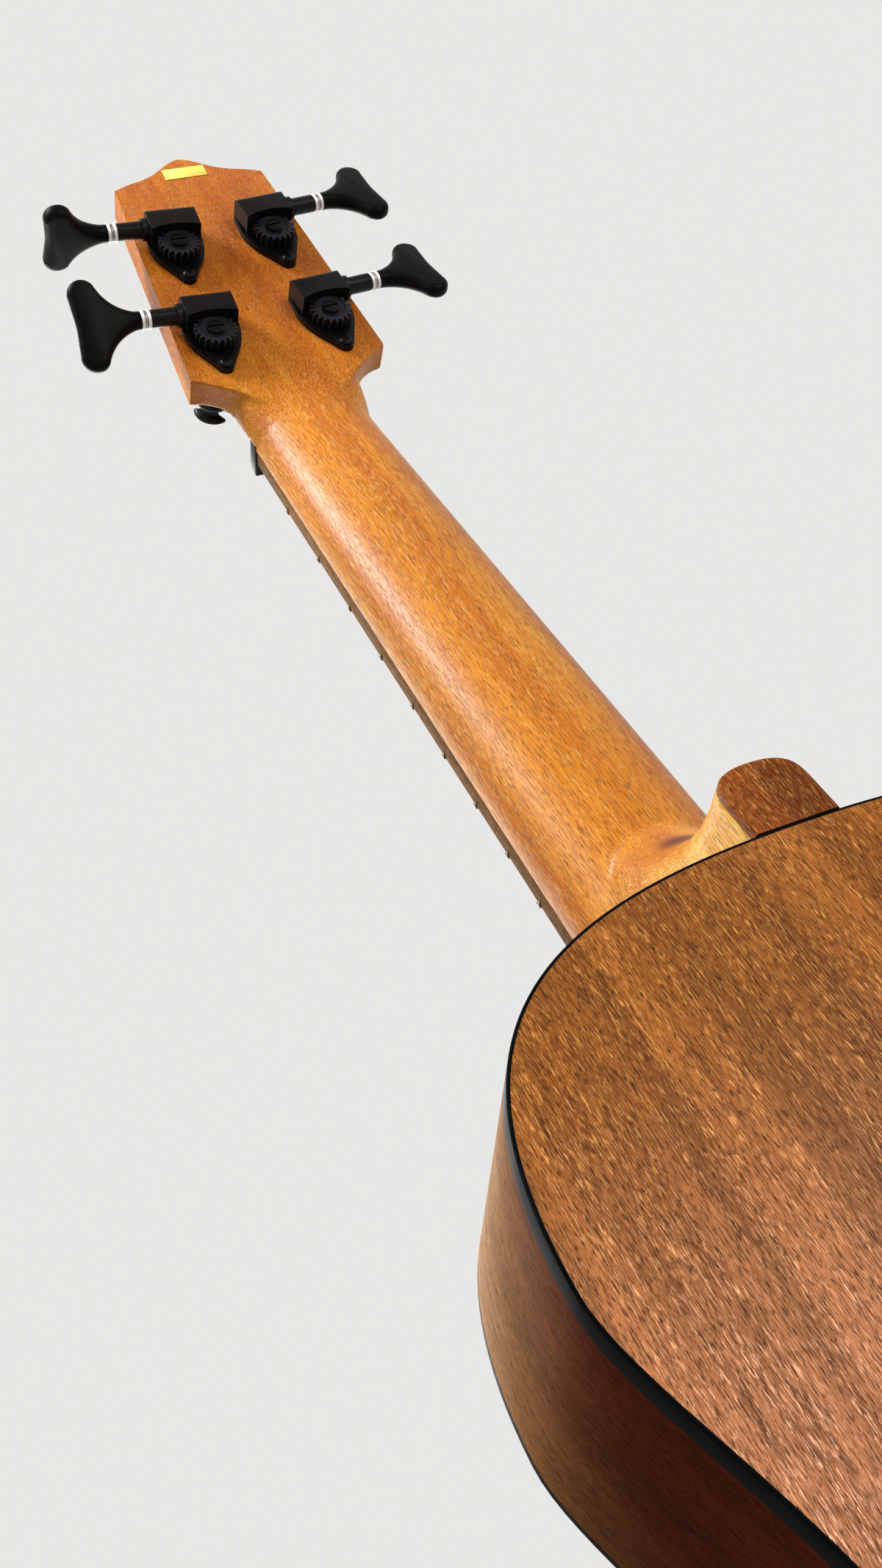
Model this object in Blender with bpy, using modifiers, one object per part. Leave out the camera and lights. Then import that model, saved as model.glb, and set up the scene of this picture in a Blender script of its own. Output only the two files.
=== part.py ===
# Bass ukulele with a 520 mm scale, lying on its flat back with the strings upwards.
# +X points to the head, +Y to the bass side and +Z from the back to the strings.

import math

import bmesh
import bpy
from mathutils import Matrix, Vector

MM = 0.001

# Clearances
SEAT = 0.3 * MM                   # between two pieces that touch
FLAT_SEAT = 0.1 * MM              # between two flat faces screwed or stuck together
GLUE_LAP = 0.5 * MM               # how far joined shapes of one piece run into each other
RUNNING_GAP = 0.35 * MM           # round a turning shaft

# Body
BODY_LENGTH = 356 * MM
DEPTH_AT_NECK = 67.3 * MM
DEPTH_AT_TAIL = 74.8 * MM
UPPER_BOUT = (-73 * MM, 96.1 * MM)      # station behind the neck end, half width
WAIST = (-150 * MM, 76.3 * MM)
LOWER_BOUT = (-252 * MM, 127 * MM)
NECK_END_FULLNESS = 52.6 * MM           # how far the outline runs on in each direction
UPPER_FULLNESS = (63.4 * MM, 17.6 * MM)
WAIST_FULLNESS = (28.3 * MM, 36 * MM)
LOWER_FULLNESS = (48 * MM, 62 * MM)
TAIL_FULLNESS = 75 * MM
OUTLINE_STEPS = (9, 4, 7, 10)           # stations in the four stretches of a half outline
PLATE_THICKNESS = 2.4 * MM
RIB_THICKNESS = 2.2 * MM
BINDING_HEIGHT = 5 * MM
BINDING_WIDTH = 1.6 * MM
LINING_WIDTH = 5 * MM
LINING_HEIGHT = 12 * MM
LINING_TOE = 3 * MM                     # height of a lining's thin inner edge
SOUNDHOLE_RADIUS = 31 * MM
SOUNDHOLE_X = -97 * MM
NECK_BLOCK = (38 * MM, 34 * MM)         # length along the body, half width
TAIL_BLOCK = (20 * MM, 30 * MM)
BRACE_WIDTH = 8 * MM
TOP_BRACE_HEIGHT = 12 * MM
BACK_BRACE_HEIGHT = 14 * MM
BRACE_TOE = 3 * MM                      # height left at a brace's ends
BRACE_TAPER = 26 * MM
BACK_BRACE_STATIONS = (-95 * MM, -240 * MM)
UPPER_BRACE_X = -54.5 * MM
LOWER_BRACE_X = -139 * MM
FAN_BRACE = (6 * MM, 9 * MM, 150 * MM)  # width, height, length
FAN_BRACE_START = (-150 * MM, 34 * MM)
FAN_BRACE_SPLAY = math.radians(5)
BRIDGE_PLATE = (34 * MM, 30 * MM, 2.5 * MM)  # length, half width, thickness

# Scale, fretboard and nut
SCALE_LENGTH = 520 * MM
JOINT_FRET = 12
JOINT_FRET_OVERHANG = 3.2 * MM          # that fret lies this far on the neck's side of the body
FRET_COUNT = 16
FRETBOARD_THICKNESS = 5 * MM
FRETBOARD_TAIL = 7.5 * MM               # board past the last fret
HALF_WIDTH_AT_NUT = 21.2 * MM
HALF_WIDTH_AT_JOINT = 26.3 * MM
FRET_WIDTH = 2 * MM
FRET_HEIGHT = 1 * MM
FRET_END = 0.35 * MM                    # how far a fret's end stands past the board
NUT_WIDTH = 5.2 * MM
NUT_OVERHANG = 0.6 * MM
NUT_ABOVE_FRETS = 4 * MM
NUT_ROUND = 1.2 * MM
NUT_ACTION = 0.8 * MM
JOINT_ACTION = 3 * MM

# Neck, heel and head
NECK_DEPTH_AT_NUT = 14.45 * MM
NECK_DEPTH_AT_JOINT = 20.6 * MM
NECK_POWER = (2.2, 2.8)                 # squareness of the section at the nut, and its rise to the head
NECK_SQUARING = (2 * MM, 24 * MM)       # start past the nut, and length, of that rise
NECK_BLEND = 20 * MM                    # the back starts to bend this far before the nut
NECK_LAP = 2 * MM                       # how far the neck's blank runs on at both ends
HEEL_LENGTH = 19.6 * MM
HEEL_HALF_WIDTH = 10.9 * MM
HEEL_CAP_THICKNESS = 2.4 * MM
HEEL_CAP_EDGE = 0.6 * MM
HEAD_TILT = math.radians(11.85)
HEAD_DROP = 1 * MM                      # head face below the neck's top at the nut
HEAD_THICKNESS = 11.5 * MM
HEAD_SHOULDER = (25.8 * MM, 36 * MM)    # distance from the nut, half width
HEAD_TIP_CORNER = (128 * MM, 29 * MM)
# half width, and rise past the tip's corners, of the ogee between them
HEAD_OGEE = ((23.5 * MM, 2.2 * MM), (17.5 * MM, 3.9 * MM), (12.7 * MM, 5.9 * MM), (8.5 * MM, 8.7 * MM),
             (5 * MM, 11.2 * MM), (2.3 * MM, 12.6 * MM), (0, 13 * MM))
HEAD_THROAT = (12 * MM, 23.2 * MM)      # where the shoulder's hollow meets the neck, at the face
HEAD_COVE = ((8.5 * MM, 0.4 * MM), (1.6 * MM, 8 * MM))  # the hollow's fullness at throat and shoulder
BACK_THROAT = (11.5 * MM, 17 * MM)      # the same hollow at the back of the head, which slants inwards
BACK_COVE = ((4.5 * MM, 3.3 * MM), (4.2 * MM, 7.8 * MM))
HEAD_LEAD = (4 * MM, 0.6 * MM)          # how far the head's slab starts before and inside its throat
BACK_LEAD = (5 * MM, 7 * MM)
LABEL_SIZE = (5.8 * MM, 16.4 * MM, 0.2 * MM)
LABEL_FROM_NUT = 133 * MM

# Tuning machines; heights are measured backwards from the back of the head
TUNER_ROWS = ((41.3 * MM, 21.4 * MM), (87.7 * MM, 18.1 * MM))
SHAFT_OFFSET = 9.75 * MM                # worm's axis to wheel's axis
SHAFT_HEIGHT = 5.2 * MM
WHEEL_TEETH = 20
TOOTH_MODULE = 0.705 * MM
TOOTH_ADDENDUM = 0.65 * MM
TOOTH_CLEARANCE = 0.25 * MM
TOOTH_THICKNESS = 0.95 * MM             # at the pitch circle
THREAD_THICKNESS = 0.85 * MM
FLANK_ANGLE = math.radians(20)
WHEEL_WIDTH = 3.2 * MM
WORM_TURNS = 4
WORM_STEPS = 12
WORM_RUN_OUT = 1.2 * MM                 # plain shaft past each end of the thread
HOUSING_HALF_WIDTH = 9 * MM
HOUSING_HEIGHT = 10 * MM
HOUSING_WALL = 1.7 * MM
HOUSING_HOLLOW = 1.9 * MM               # how deep the hood's front is hollowed
HOUSING_MOUTH = 5.6 * MM                # from the wheel's axis to the bottom of that hollow
HOUSING_ROUND = 2.2 * MM
HOUSING_CHAMFER = 0.6 * MM
PLATE_HEIGHT = 2.3 * MM
PLATE_EDGE = 0.5 * MM
PLATE_HALF_WIDTH = 10.1 * MM
PLATE_SCREW_X = -12.9 * MM
PLATE_TIP_RADIUS = 2.9 * MM
COLLAR_RADIUS = 4 * MM
COLLAR_LENGTH = 2.3 * MM
SHAFT_RADIUS = 3.1 * MM
JOURNAL_RADIUS = 1.5 * MM
JOURNAL_LENGTH = 2 * MM
RING_RADIUS = 3.35 * MM
RING_WIDTH = 1.1 * MM
RING_CENTRE = 22.1 * MM                 # from the wheel's axis, outwards
KEY_STUB = (1.9 * MM, 6 * MM)
KEY_LENGTH = 22.6 * MM
KEY_LOBE_SPREAD = 10.9 * MM
KEY_LOBE_RADIUS = 5 * MM
KEY_LOBE_HALF_THICKNESS = 2.5 * MM
KEY_HOLLOW = 1.5 * MM                   # how far the end is hollowed between the lobes
POST_RADIUS = 4 * MM
POST_WAIST_RADIUS = 4.2 * MM
POST_TOP_RADIUS = 6.8 * MM
POST_ABOVE_FACE = 21 * MM
POST_FLARE = 2.7 * MM
POST_SLOT = (5.2 * MM, 8.1 * MM)        # width, depth
WHEEL_STUB_RADIUS = 2.4 * MM
WHEEL_STUB_SHORT = 0.8 * MM             # the stub ends this far below the wheel's face
WHEEL_SCREW = (3 * MM, 0.9 * MM)
SCREW_SLOT = (0.8 * MM, 0.6 * MM)       # width, depth
BUSHING_FLANGE = (7.5 * MM, 2.2 * MM)
BUSHING_BARREL = (5.6 * MM, 8 * MM)
SCREW_HEAD = (2.2 * MM, 1.3 * MM)
SCREW_SHANK = (1.3 * MM, 8 * MM)

# Strings, bridge and end pin
NUT_EDGE_MARGIN = 5.2 * MM
SADDLE_SPREAD = 26 * MM                 # outer strings to the centre line at the saddle
STRING_WINDING_GAP = 0.7 * MM
SLOT_TURN = 1.15                        # angle in which a string turns into its slot
# share of the winding's radius, share of that angle
TURN_IN = ((1.0, 0.38), (0.93, 0.65), (0.72, 0.88), (0.42, 0.98), (0.12, 1.0), (-0.18, 1.0))
BRIDGE_HALF_LENGTH = 54 * MM
BRIDGE_WIDTH = 30 * MM
BRIDGE_BASE = 4 * MM
BRIDGE_CORNER = 6 * MM
BRIDGE_BEHIND_SADDLE = 22 * MM
TIE_BLOCK = (12 * MM, 34 * MM, 9.2 * MM)  # length, half width, height
SADDLE_RIDGE = (7 * MM, 7.5 * MM)         # length, height
SADDLE = (3.2 * MM, 33 * MM)              # thickness, half width
SADDLE_SLOT_FLOOR = 2.2 * MM
PICKUP_THICKNESS = 1.2 * MM
STRING_HOLE_HEIGHT = 5.6 * MM
STRING_HOLE_GAP = 0.4 * MM
STRING_BEAD_LENGTH = 4 * MM
END_PIN_HEIGHT = 37 * MM
END_PIN_BORE = 3.4 * MM
END_PIN_BARREL = (5.8 * MM, 30 * MM)
END_PIN_NECK = 5.4 * MM
END_PIN_RIM = 7.6 * MM
END_PIN_REACH = 11 * MM

STRING_RADII = (2.2 * MM, 1.8 * MM, 1.5 * MM, 1.2 * MM)
# name, radius, turns on its post, side (+1 bass), tuner row, key angle at rest
STRINGS = (
    ("e", STRING_RADII[0], 1.7, 1, 0, math.radians(-7.5)),
    ("a", STRING_RADII[1], 2.0, 1, 1, math.radians(-5.9)),
    ("d", STRING_RADII[2], 2.5, -1, 1, math.radians(104.6)),
    ("g", STRING_RADII[3], 2.7, -1, 0, math.radians(30.3)),
)

SLOPE = math.atan((DEPTH_AT_TAIL - DEPTH_AT_NECK) / BODY_LENGTH)
TOP_UNDER = PLATE_THICKNESS + SEAT
LINING_OFFSET = RIB_THICKNESS + SEAT
INNER_OFFSET = LINING_OFFSET + LINING_WIDTH + SEAT
WHEEL_RADIUS = TOOTH_MODULE * WHEEL_TEETH / 2
WORM_RADIUS = SHAFT_OFFSET - WHEEL_RADIUS
WHEEL_TIP = WHEEL_RADIUS + TOOTH_ADDENDUM
WORM_TIP = WORM_RADIUS + TOOTH_ADDENDUM
WHEEL_ROOT = SHAFT_OFFSET - WORM_TIP - TOOTH_CLEARANCE
WORM_ROOT = SHAFT_OFFSET - WHEEL_TIP - TOOTH_CLEARANCE
WORM_PITCH = math.pi * TOOTH_MODULE
LEAD_SLOPE = WORM_PITCH / (2 * math.pi * WORM_RADIUS)
FRETBOARD_TOP = SEAT + FRETBOARD_THICKNESS
FRET_TOP = FRETBOARD_TOP + FRET_HEIGHT
KEY_START = RING_CENTRE + 1.5 * RING_WIDTH + SEAT
EDGE_ANGLE = math.atan(
    (HEAD_SHOULDER[1] - HEAD_TIP_CORNER[1]) / (HEAD_TIP_CORNER[0] - HEAD_SHOULDER[0])
)


def fret_distance(number):
    """Distance from the nut to a fret in twelve-tone equal temperament."""
    return SCALE_LENGTH * (1 - 2 ** (-number / 12))


NUT_X = fret_distance(JOINT_FRET) + JOINT_FRET_OVERHANG
SADDLE_X = NUT_X - SCALE_LENGTH
FRETBOARD_END = NUT_X - fret_distance(FRET_COUNT) - FRETBOARD_TAIL
SADDLE_TOP = FRET_TOP + NUT_ACTION + (JOINT_ACTION - NUT_ACTION) * (
    SCALE_LENGTH / fret_distance(JOINT_FRET)
) - SEAT

for leftover in list(bpy.data.objects):
    bpy.data.objects.remove(leftover, do_unlink=True)


def make_collection(name):
    collection = bpy.data.collections.new(name)
    bpy.context.scene.collection.children.link(collection)
    return collection


PARTS = make_collection("bass_ukulele")
CUTTERS = make_collection("cutters")


def principled(name, colour, roughness, metallic=0.0):
    material = bpy.data.materials.new(name)
    material.use_nodes = True
    shader = material.node_tree.nodes["Principled BSDF"]
    shader.inputs["Base Color"].default_value = (*colour, 1)
    shader.inputs["Roughness"].default_value = roughness
    shader.inputs["Metallic"].default_value = metallic
    material.diffuse_color = (*colour, 1)
    return material


FINISHES = {
    "body_mahogany": ((0.27, 0.12, 0.045), 0.45, 0.0),
    "neck_mahogany": ((0.58, 0.26, 0.07), 0.4, 0.0),
    "spruce": ((0.72, 0.52, 0.3), 0.6, 0.0),
    "walnut": ((0.12, 0.06, 0.03), 0.5, 0.0),
    "black_plastic": ((0.015, 0.015, 0.015), 0.25, 0.0),
    "bone": ((0.8, 0.76, 0.66), 0.4, 0.0),
    "black_metal": ((0.012, 0.012, 0.013), 0.3, 0.6),
    "steel": ((0.25, 0.26, 0.28), 0.35, 0.9),
    "string": ((0.02, 0.02, 0.02), 0.4, 0.0),
    "label": ((0.9, 0.78, 0.08), 0.5, 0.0),
}


def finish(name, kind):
    colour, roughness, metallic = FINISHES[kind]
    return principled(name + "_finish", colour, roughness, metallic)


def add_object(name, mesh, kind=None, parent=None, location=(0, 0, 0), rotation=(0, 0, 0)):
    """Link a mesh as a part, or as a cutter when it has no finish."""
    item = bpy.data.objects.new(name, mesh)
    item.parent = parent
    item.location = location
    item.rotation_euler = rotation
    if kind:
        mesh.materials.append(finish(name, kind))
        PARTS.objects.link(item)
    else:
        CUTTERS.objects.link(item)
        item.hide_render = True
        item.display_type = "WIRE"
    return item


def add_frame(name, parent=None, location=(0, 0, 0), rotation=(0, 0, 0)):
    frame = bpy.data.objects.new(name, None)
    frame.empty_display_size = 0.01
    frame.parent = parent
    frame.location = location
    frame.rotation_euler = rotation
    PARTS.objects.link(frame)
    return frame


def smooth(mesh, angle=35):
    mesh.shade_smooth()
    mesh.set_sharp_from_angle(angle=math.radians(angle))
    return mesh


def mesh_from(name, bm, angle=35):
    bmesh.ops.recalc_face_normals(bm, faces=bm.faces)
    mesh = bpy.data.meshes.new(name)
    bm.to_mesh(mesh)
    bm.free()
    return smooth(mesh, angle)


def loft(name, sections, closed=False):
    """Skin over sections with the same number of points, capped unless the loft is closed."""
    bm = bmesh.new()
    rings = [[bm.verts.new(point) for point in section] for section in sections]
    following = rings[1:] + (rings[:1] if closed else [])
    for ring, after in zip(rings, following):
        for i in range(len(ring)):
            j = (i + 1) % len(ring)
            bm.faces.new((ring[i], ring[j], after[j], after[i]))
    if not closed:
        bm.faces.new(list(reversed(rings[0])))
        bm.faces.new(rings[-1])
    return mesh_from(name, bm)


def slab(name, outline, low, high):
    """Flat outline between two heights, each a number or a function of x."""
    def height(level, x):
        return level(x) if callable(level) else level
    return loft(name, [[(x, y, height(level, x)) for x, y in outline] for level in (low, high)])


def box(name, low, high):
    """Box between two corners."""
    bm = bmesh.new()
    size = [high[i] - low[i] for i in range(3)]
    middle = [(high[i] + low[i]) / 2 for i in range(3)]
    bmesh.ops.create_cube(bm, size=1, matrix=Matrix.Translation(middle) @ Matrix.Diagonal((*size, 1)))
    return mesh_from(name, bm)


def rod(name, radius, low, high, sides=16, axis="Z", centre=(0, 0)):
    """Cylinder along an axis between two stations; centre gives the other two coordinates."""
    turn = {"X": Matrix.Rotation(math.pi / 2, 4, "Y"), "Y": Matrix.Rotation(-math.pi / 2, 4, "X"),
            "Z": Matrix.Identity(4)}[axis]
    middle = (low + high) / 2
    place = {"X": (middle, *centre), "Y": (centre[0], middle, centre[1]), "Z": (*centre, middle)}[axis]
    bm = bmesh.new()
    bmesh.ops.create_cone(bm, cap_ends=True, segments=sides, radius1=radius, radius2=radius,
                          depth=high - low, matrix=Matrix.Translation(place) @ turn)
    return mesh_from(name, bm)


def add_turned(name, profile, kind, parent, steps=16, hollow=False, location=(0, 0, 0),
               rotation=(0, 0, 0)):
    """Turned piece: a profile of (radius, height), run down its outer side and spun round z."""
    mesh = bpy.data.meshes.new(name)
    count = len(profile)
    edges = [(i, i + 1) for i in range(count - 1)]
    if hollow:
        edges.append((count - 1, 0))
    mesh.from_pydata([(r, 0, z) for r, z in profile], edges, [])
    item = add_object(name, mesh, kind, parent, location, rotation)
    spin = item.modifiers.new("turn", "SCREW")
    spin.steps = steps
    spin.render_steps = steps
    spin.use_merge_vertices = True
    spin.merge_threshold = 0.00001
    spin.use_smooth_shade = True
    return item


def apply_tool(item, tool, operation="DIFFERENCE"):
    modifier = item.modifiers.new(operation.lower(), "BOOLEAN")
    modifier.operation = operation
    modifier.solver = "EXACT"
    modifier.object = tool


def joined(name, meshes):
    """One mesh that holds several separate cutters."""
    bm = bmesh.new()
    for mesh in meshes:
        bm.from_mesh(mesh)
    return mesh_from(name, bm)


def cut(item, name, meshes, parent=None, location=(0, 0, 0), rotation=(0, 0, 0)):
    apply_tool(item, add_object(name, joined(name, meshes), None, parent, location, rotation))


def unite(item, name, meshes, parent=None, location=(0, 0, 0), rotation=(0, 0, 0)):
    apply_tool(item, add_object(name, joined(name, meshes), None, parent, location, rotation), "UNION")


# Outline of the body

def bezier(start, leave, arrive, end, steps):
    """Points and outward normals along one stretch, without its last point."""
    stations = []
    for i in range(steps):
        t = i / steps
        u = 1 - t
        weights = (u ** 3, 3 * u * u * t, 3 * u * t * t, t ** 3)
        slopes = (-u * u, u * u - 2 * u * t, 2 * u * t - t * t, t * t)
        knots = (start, leave, arrive, end)
        x, y = (sum(w * k[n] for w, k in zip(weights, knots)) for n in (0, 1))
        dx, dy = (sum(s * k[n] for s, k in zip(slopes, knots)) for n in (0, 1))
        length = math.hypot(dx, dy)
        stations.append((x, y, dy / length, -dx / length))
    return stations


def half_stations():
    """The +Y half of the outline from the neck end to the tail end."""
    ux, uy = UPPER_BOUT
    wx, wy = WAIST
    lx, ly = LOWER_BOUT
    tail = -BODY_LENGTH
    first = bezier((0, 0), (0, NECK_END_FULLNESS), (ux + UPPER_FULLNESS[0], uy), (ux, uy),
                   OUTLINE_STEPS[0])
    second = bezier((ux, uy), (ux - UPPER_FULLNESS[1], uy), (wx + WAIST_FULLNESS[0], wy), (wx, wy),
                    OUTLINE_STEPS[1])
    third = bezier((wx, wy), (wx - WAIST_FULLNESS[1], wy), (lx + LOWER_FULLNESS[0], ly), (lx, ly),
                   OUTLINE_STEPS[2])
    last = bezier((lx, ly), (lx - LOWER_FULLNESS[1], ly), (tail, TAIL_FULLNESS), (tail, 0),
                  OUTLINE_STEPS[3])
    return first + second + third + last + [(tail, 0, -1, 0)]


STATIONS = half_stations()


def half_outline(offset):
    """Half outline moved inwards by offset."""
    return [(x - nx * offset, y - ny * offset) for x, y, nx, ny in STATIONS]


def full_outline(offset):
    half = half_outline(offset)
    return half + [(x, -y) for x, y in reversed(half[1:-1])]


def half_width_at(x, offset):
    """Half width of the body's outline, moved inwards by offset, at a station."""
    half = half_outline(offset)
    for (x0, y0), (x1, y1) in zip(half, half[1:]):
        if x1 <= x <= x0 and x0 > x1:
            return y0 + (y1 - y0) * (x0 - x) / (x0 - x1)
    return 0


def top_height(x):
    """Height of the soundboard's outer face above the back."""
    return DEPTH_AT_NECK - x * math.tan(SLOPE)


def below_top(depth):
    return lambda x: top_height(x) - depth


# Body pieces

def make_plates(root):
    outline = full_outline(BINDING_WIDTH + SEAT)
    add_object("back", slab("back", outline, 0, PLATE_THICKNESS), "body_mahogany", root)
    top = add_object("top", slab("top", outline, below_top(PLATE_THICKNESS), below_top(0)),
                     "body_mahogany", root)
    hole = rod("soundhole", SOUNDHOLE_RADIUS, 0.7 * DEPTH_AT_NECK, 1.3 * DEPTH_AT_TAIL, 32,
               centre=(SOUNDHOLE_X, 0))
    cut(top, "soundhole", [hole], root)
    return top


def make_rib(name, side, root):
    """One bent side, from the middle of the neck end to the middle of the tail."""
    outer, inner = half_outline(0), half_outline(RIB_THICKNESS)
    low = BINDING_HEIGHT + SEAT
    sections = []
    for (xo, yo), (xi, yi) in zip(outer, inner):
        yo, yi = max(yo, SEAT / 2), max(yi, SEAT / 2)
        sections.append([(xo, side * yo, low), (xo, side * yo, top_height(xo) - low),
                         (xi, side * yi, top_height(xi) - low), (xi, side * yi, low)])
    return add_object(name, loft(name, sections), "body_mahogany", root)


def make_binding(name, low, high, root):
    outer, inner = full_outline(0), full_outline(BINDING_WIDTH)
    sections = [[(xo, yo, low(xo)), (xo, yo, high(xo)), (xi, yi, high(xi)), (xi, yi, low(xi))]
                for (xo, yo), (xi, yi) in zip(outer, inner)]
    add_object(name, loft(name, sections, closed=True), "black_plastic", root)


def make_lining(name, side, face, toe, root):
    """Glue strip in the corner of a rib and a plate; face and toe give its heights."""
    outer, inner = half_outline(LINING_OFFSET), half_outline(LINING_OFFSET + LINING_WIDTH)
    sections = []
    for (xo, yo), (xi, yi) in zip(outer, inner):
        near_neck = xi > -NECK_BLOCK[0] and yi < NECK_BLOCK[1] + SEAT
        near_tail = xi < LOWER_BOUT[0] and yi < TAIL_BLOCK[1] + SEAT
        if near_neck or near_tail:
            continue
        rise = 1 if toe(0) > face(0) else -1
        sections.append([(xo, side * yo, face(xo)), (xo, side * yo, toe(xo)),
                         (xi, side * yi, face(xi) + rise * LINING_TOE), (xi, side * yi, face(xi))])
    add_object(name, loft(name, sections), "spruce", root)


def make_linings(root):
    floor = TOP_UNDER
    for word, side in (("bass", 1), ("treble", -1)):
        make_lining("back_lining_" + word, side, lambda x: floor, lambda x: floor + LINING_HEIGHT, root)
        make_lining("top_lining_" + word, side, below_top(TOP_UNDER),
                    below_top(TOP_UNDER + LINING_HEIGHT), root)


def make_block(name, size, at_neck, root):
    """Inner block at one end of the body, shaped to the inside of the ribs."""
    length, half = size
    edge = half_outline(LINING_OFFSET)
    if not at_neck:
        edge = list(reversed(edge))
    curve = [(x, y) for x, y in edge[:4] if y < half - SEAT]
    end = curve[0][0] + (-length if at_neck else length)
    side = curve + [(edge[len(curve)][0], half)]
    back = [(end, half)]
    outline = side + back + [(x, -y) for x, y in reversed(side[1:] + back)]
    return add_object(name, slab(name, outline, TOP_UNDER, below_top(TOP_UNDER)), "neck_mahogany", root)


def make_cross_brace(name, station, width, height, offset, hang_from_top, root):
    """Transverse brace whose ends taper to a toe."""
    half = min(half_width_at(station - width / 2, offset), half_width_at(station + width / 2, offset))
    shape = [(-half, 0), (half, 0), (half, BRACE_TOE), (half - BRACE_TAPER, height),
             (-half + BRACE_TAPER, height), (-half, BRACE_TOE)]
    sections = []
    for x in (station - width / 2, station + width / 2):
        if hang_from_top:
            base, sign = top_height(station) - TOP_UNDER - width / 2 * math.sin(SLOPE), -1
        else:
            base, sign = TOP_UNDER, 1
        sections.append([(x, y, base + sign * z) for y, z in shape])
    add_object(name, loft(name, sections), "spruce", root)


def make_fan_brace(name, side, top_frame):
    width, height, length = FAN_BRACE
    shape = [(0, 0), (-length, 0), (-length, -BRACE_TOE), (-length + BRACE_TAPER, -height),
             (-BRACE_TAPER, -height), (0, -BRACE_TOE)]
    sections = [[(x, y, z) for x, z in shape] for y in (-width / 2, width / 2)]
    x, y = FAN_BRACE_START
    add_object(name, loft(name, sections), "spruce", top_frame, (x, side * y, -TOP_UNDER),
               (0, 0, -side * FAN_BRACE_SPLAY))


def make_bracing(root, top_frame):
    make_cross_brace("upper_brace", UPPER_BRACE_X, BRACE_WIDTH, TOP_BRACE_HEIGHT, INNER_OFFSET, True, root)
    make_cross_brace("lower_brace", LOWER_BRACE_X, BRACE_WIDTH, TOP_BRACE_HEIGHT, INNER_OFFSET, True, root)
    for word, station in zip(("upper", "lower"), BACK_BRACE_STATIONS):
        make_cross_brace("back_brace_" + word, station, BRACE_WIDTH, BACK_BRACE_HEIGHT, INNER_OFFSET,
                         False, root)
    make_fan_brace("fan_brace_bass", 1, top_frame)
    make_fan_brace("fan_brace_treble", -1, top_frame)
    length, half, thickness = BRIDGE_PLATE
    middle = SADDLE_X - BRIDGE_BEHIND_SADDLE + BRIDGE_WIDTH / 2
    plate = box("bridge_plate", (middle - length / 2, -half, -TOP_UNDER - thickness),
                (middle + length / 2, half, -TOP_UNDER))
    add_object("bridge_plate", plate, "spruce", top_frame)


def make_body(root, top_frame):
    make_plates(root)
    ribs = [make_rib("rib_bass", 1, root), make_rib("rib_treble", -1, root)]
    make_binding("back_binding", lambda x: 0, lambda x: BINDING_HEIGHT, root)
    make_binding("top_binding", below_top(BINDING_HEIGHT), below_top(0), root)
    make_linings(root)
    make_block("neck_block", NECK_BLOCK, True, root)
    tail_block = make_block("tail_block", TAIL_BLOCK, False, root)
    make_bracing(root, top_frame)
    make_end_pin(ribs, tail_block, root)


def make_end_pin(ribs, tail_block, root):
    """Strap button at the tail with the output socket in its bore."""
    barrel, length = END_PIN_BARREL
    reach, rim, neck = END_PIN_REACH, END_PIN_RIM, END_PIN_NECK
    flange = 1.5 * MM
    profile = [(END_PIN_BORE, reach), (rim - 1 * MM, reach), (rim, reach - 1 * MM),
               (rim, reach - 2.4 * MM), (neck, reach - 4.5 * MM), (neck, flange + 1.8 * MM),
               (rim + 1 * MM, flange), (rim + 1 * MM, SEAT), (barrel, SEAT), (barrel, -length),
               (END_PIN_BORE, -length)]
    add_turned("end_pin_jack", profile, "black_metal", root, 16, True,
               (-BODY_LENGTH, 0, END_PIN_HEIGHT), (0, -math.pi / 2, 0))
    for item in ribs + [tail_block]:
        hole = rod(item.name + "_pin_hole", barrel + SEAT, -1.5 * length, length, 16)
        cut(item, item.name + "_pin_hole", [hole], root, (-BODY_LENGTH, 0, END_PIN_HEIGHT),
            (0, -math.pi / 2, 0))


# Neck, heel and head; these are built in the frame of the soundboard, whose face is z = 0

def neck_half_width(x):
    share = (NUT_X - x) / fret_distance(JOINT_FRET)
    return HALF_WIDTH_AT_NUT + (HALF_WIDTH_AT_JOINT - HALF_WIDTH_AT_NUT) * share


def neck_depth(x):
    share = (NUT_X - x) / fret_distance(JOINT_FRET)
    return NECK_DEPTH_AT_NUT + (NECK_DEPTH_AT_JOINT - NECK_DEPTH_AT_NUT) * share


def head_back(x):
    """Height of the head's back face under a station."""
    return -HEAD_DROP - HEAD_THICKNESS / math.cos(HEAD_TILT) - (x - NUT_X) * math.tan(HEAD_TILT)


def head_face(x):
    return -HEAD_DROP - (x - NUT_X) * math.tan(HEAD_TILT)


def hermite(t, p0, p1, m0, m1):
    return ((2 * t ** 3 - 3 * t ** 2 + 1) * p0 + (t ** 3 - 2 * t ** 2 + t) * m0
            + (3 * t ** 2 - 2 * t ** 3) * p1 + (t ** 3 - t ** 2) * m1)


def ease(t):
    t = min(max(t, 0), 1)
    return t * t * (3 - 2 * t)


BLEND_START = NUT_X - NECK_BLEND
BLEND_END = NUT_X + HEAD_SHOULDER[0] + NECK_LAP


def neck_bottom(x):
    """Lowest line of the neck, easing into the back of the head past the nut."""
    if x <= BLEND_START:
        return -neck_depth(x)
    length = BLEND_END - BLEND_START
    thinning = (NECK_DEPTH_AT_JOINT - NECK_DEPTH_AT_NUT) / fret_distance(JOINT_FRET)
    return hermite((x - BLEND_START) / length, -neck_depth(BLEND_START), head_back(BLEND_END) + GLUE_LAP,
                   thinning * length, -math.tan(HEAD_TILT) * length)


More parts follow.
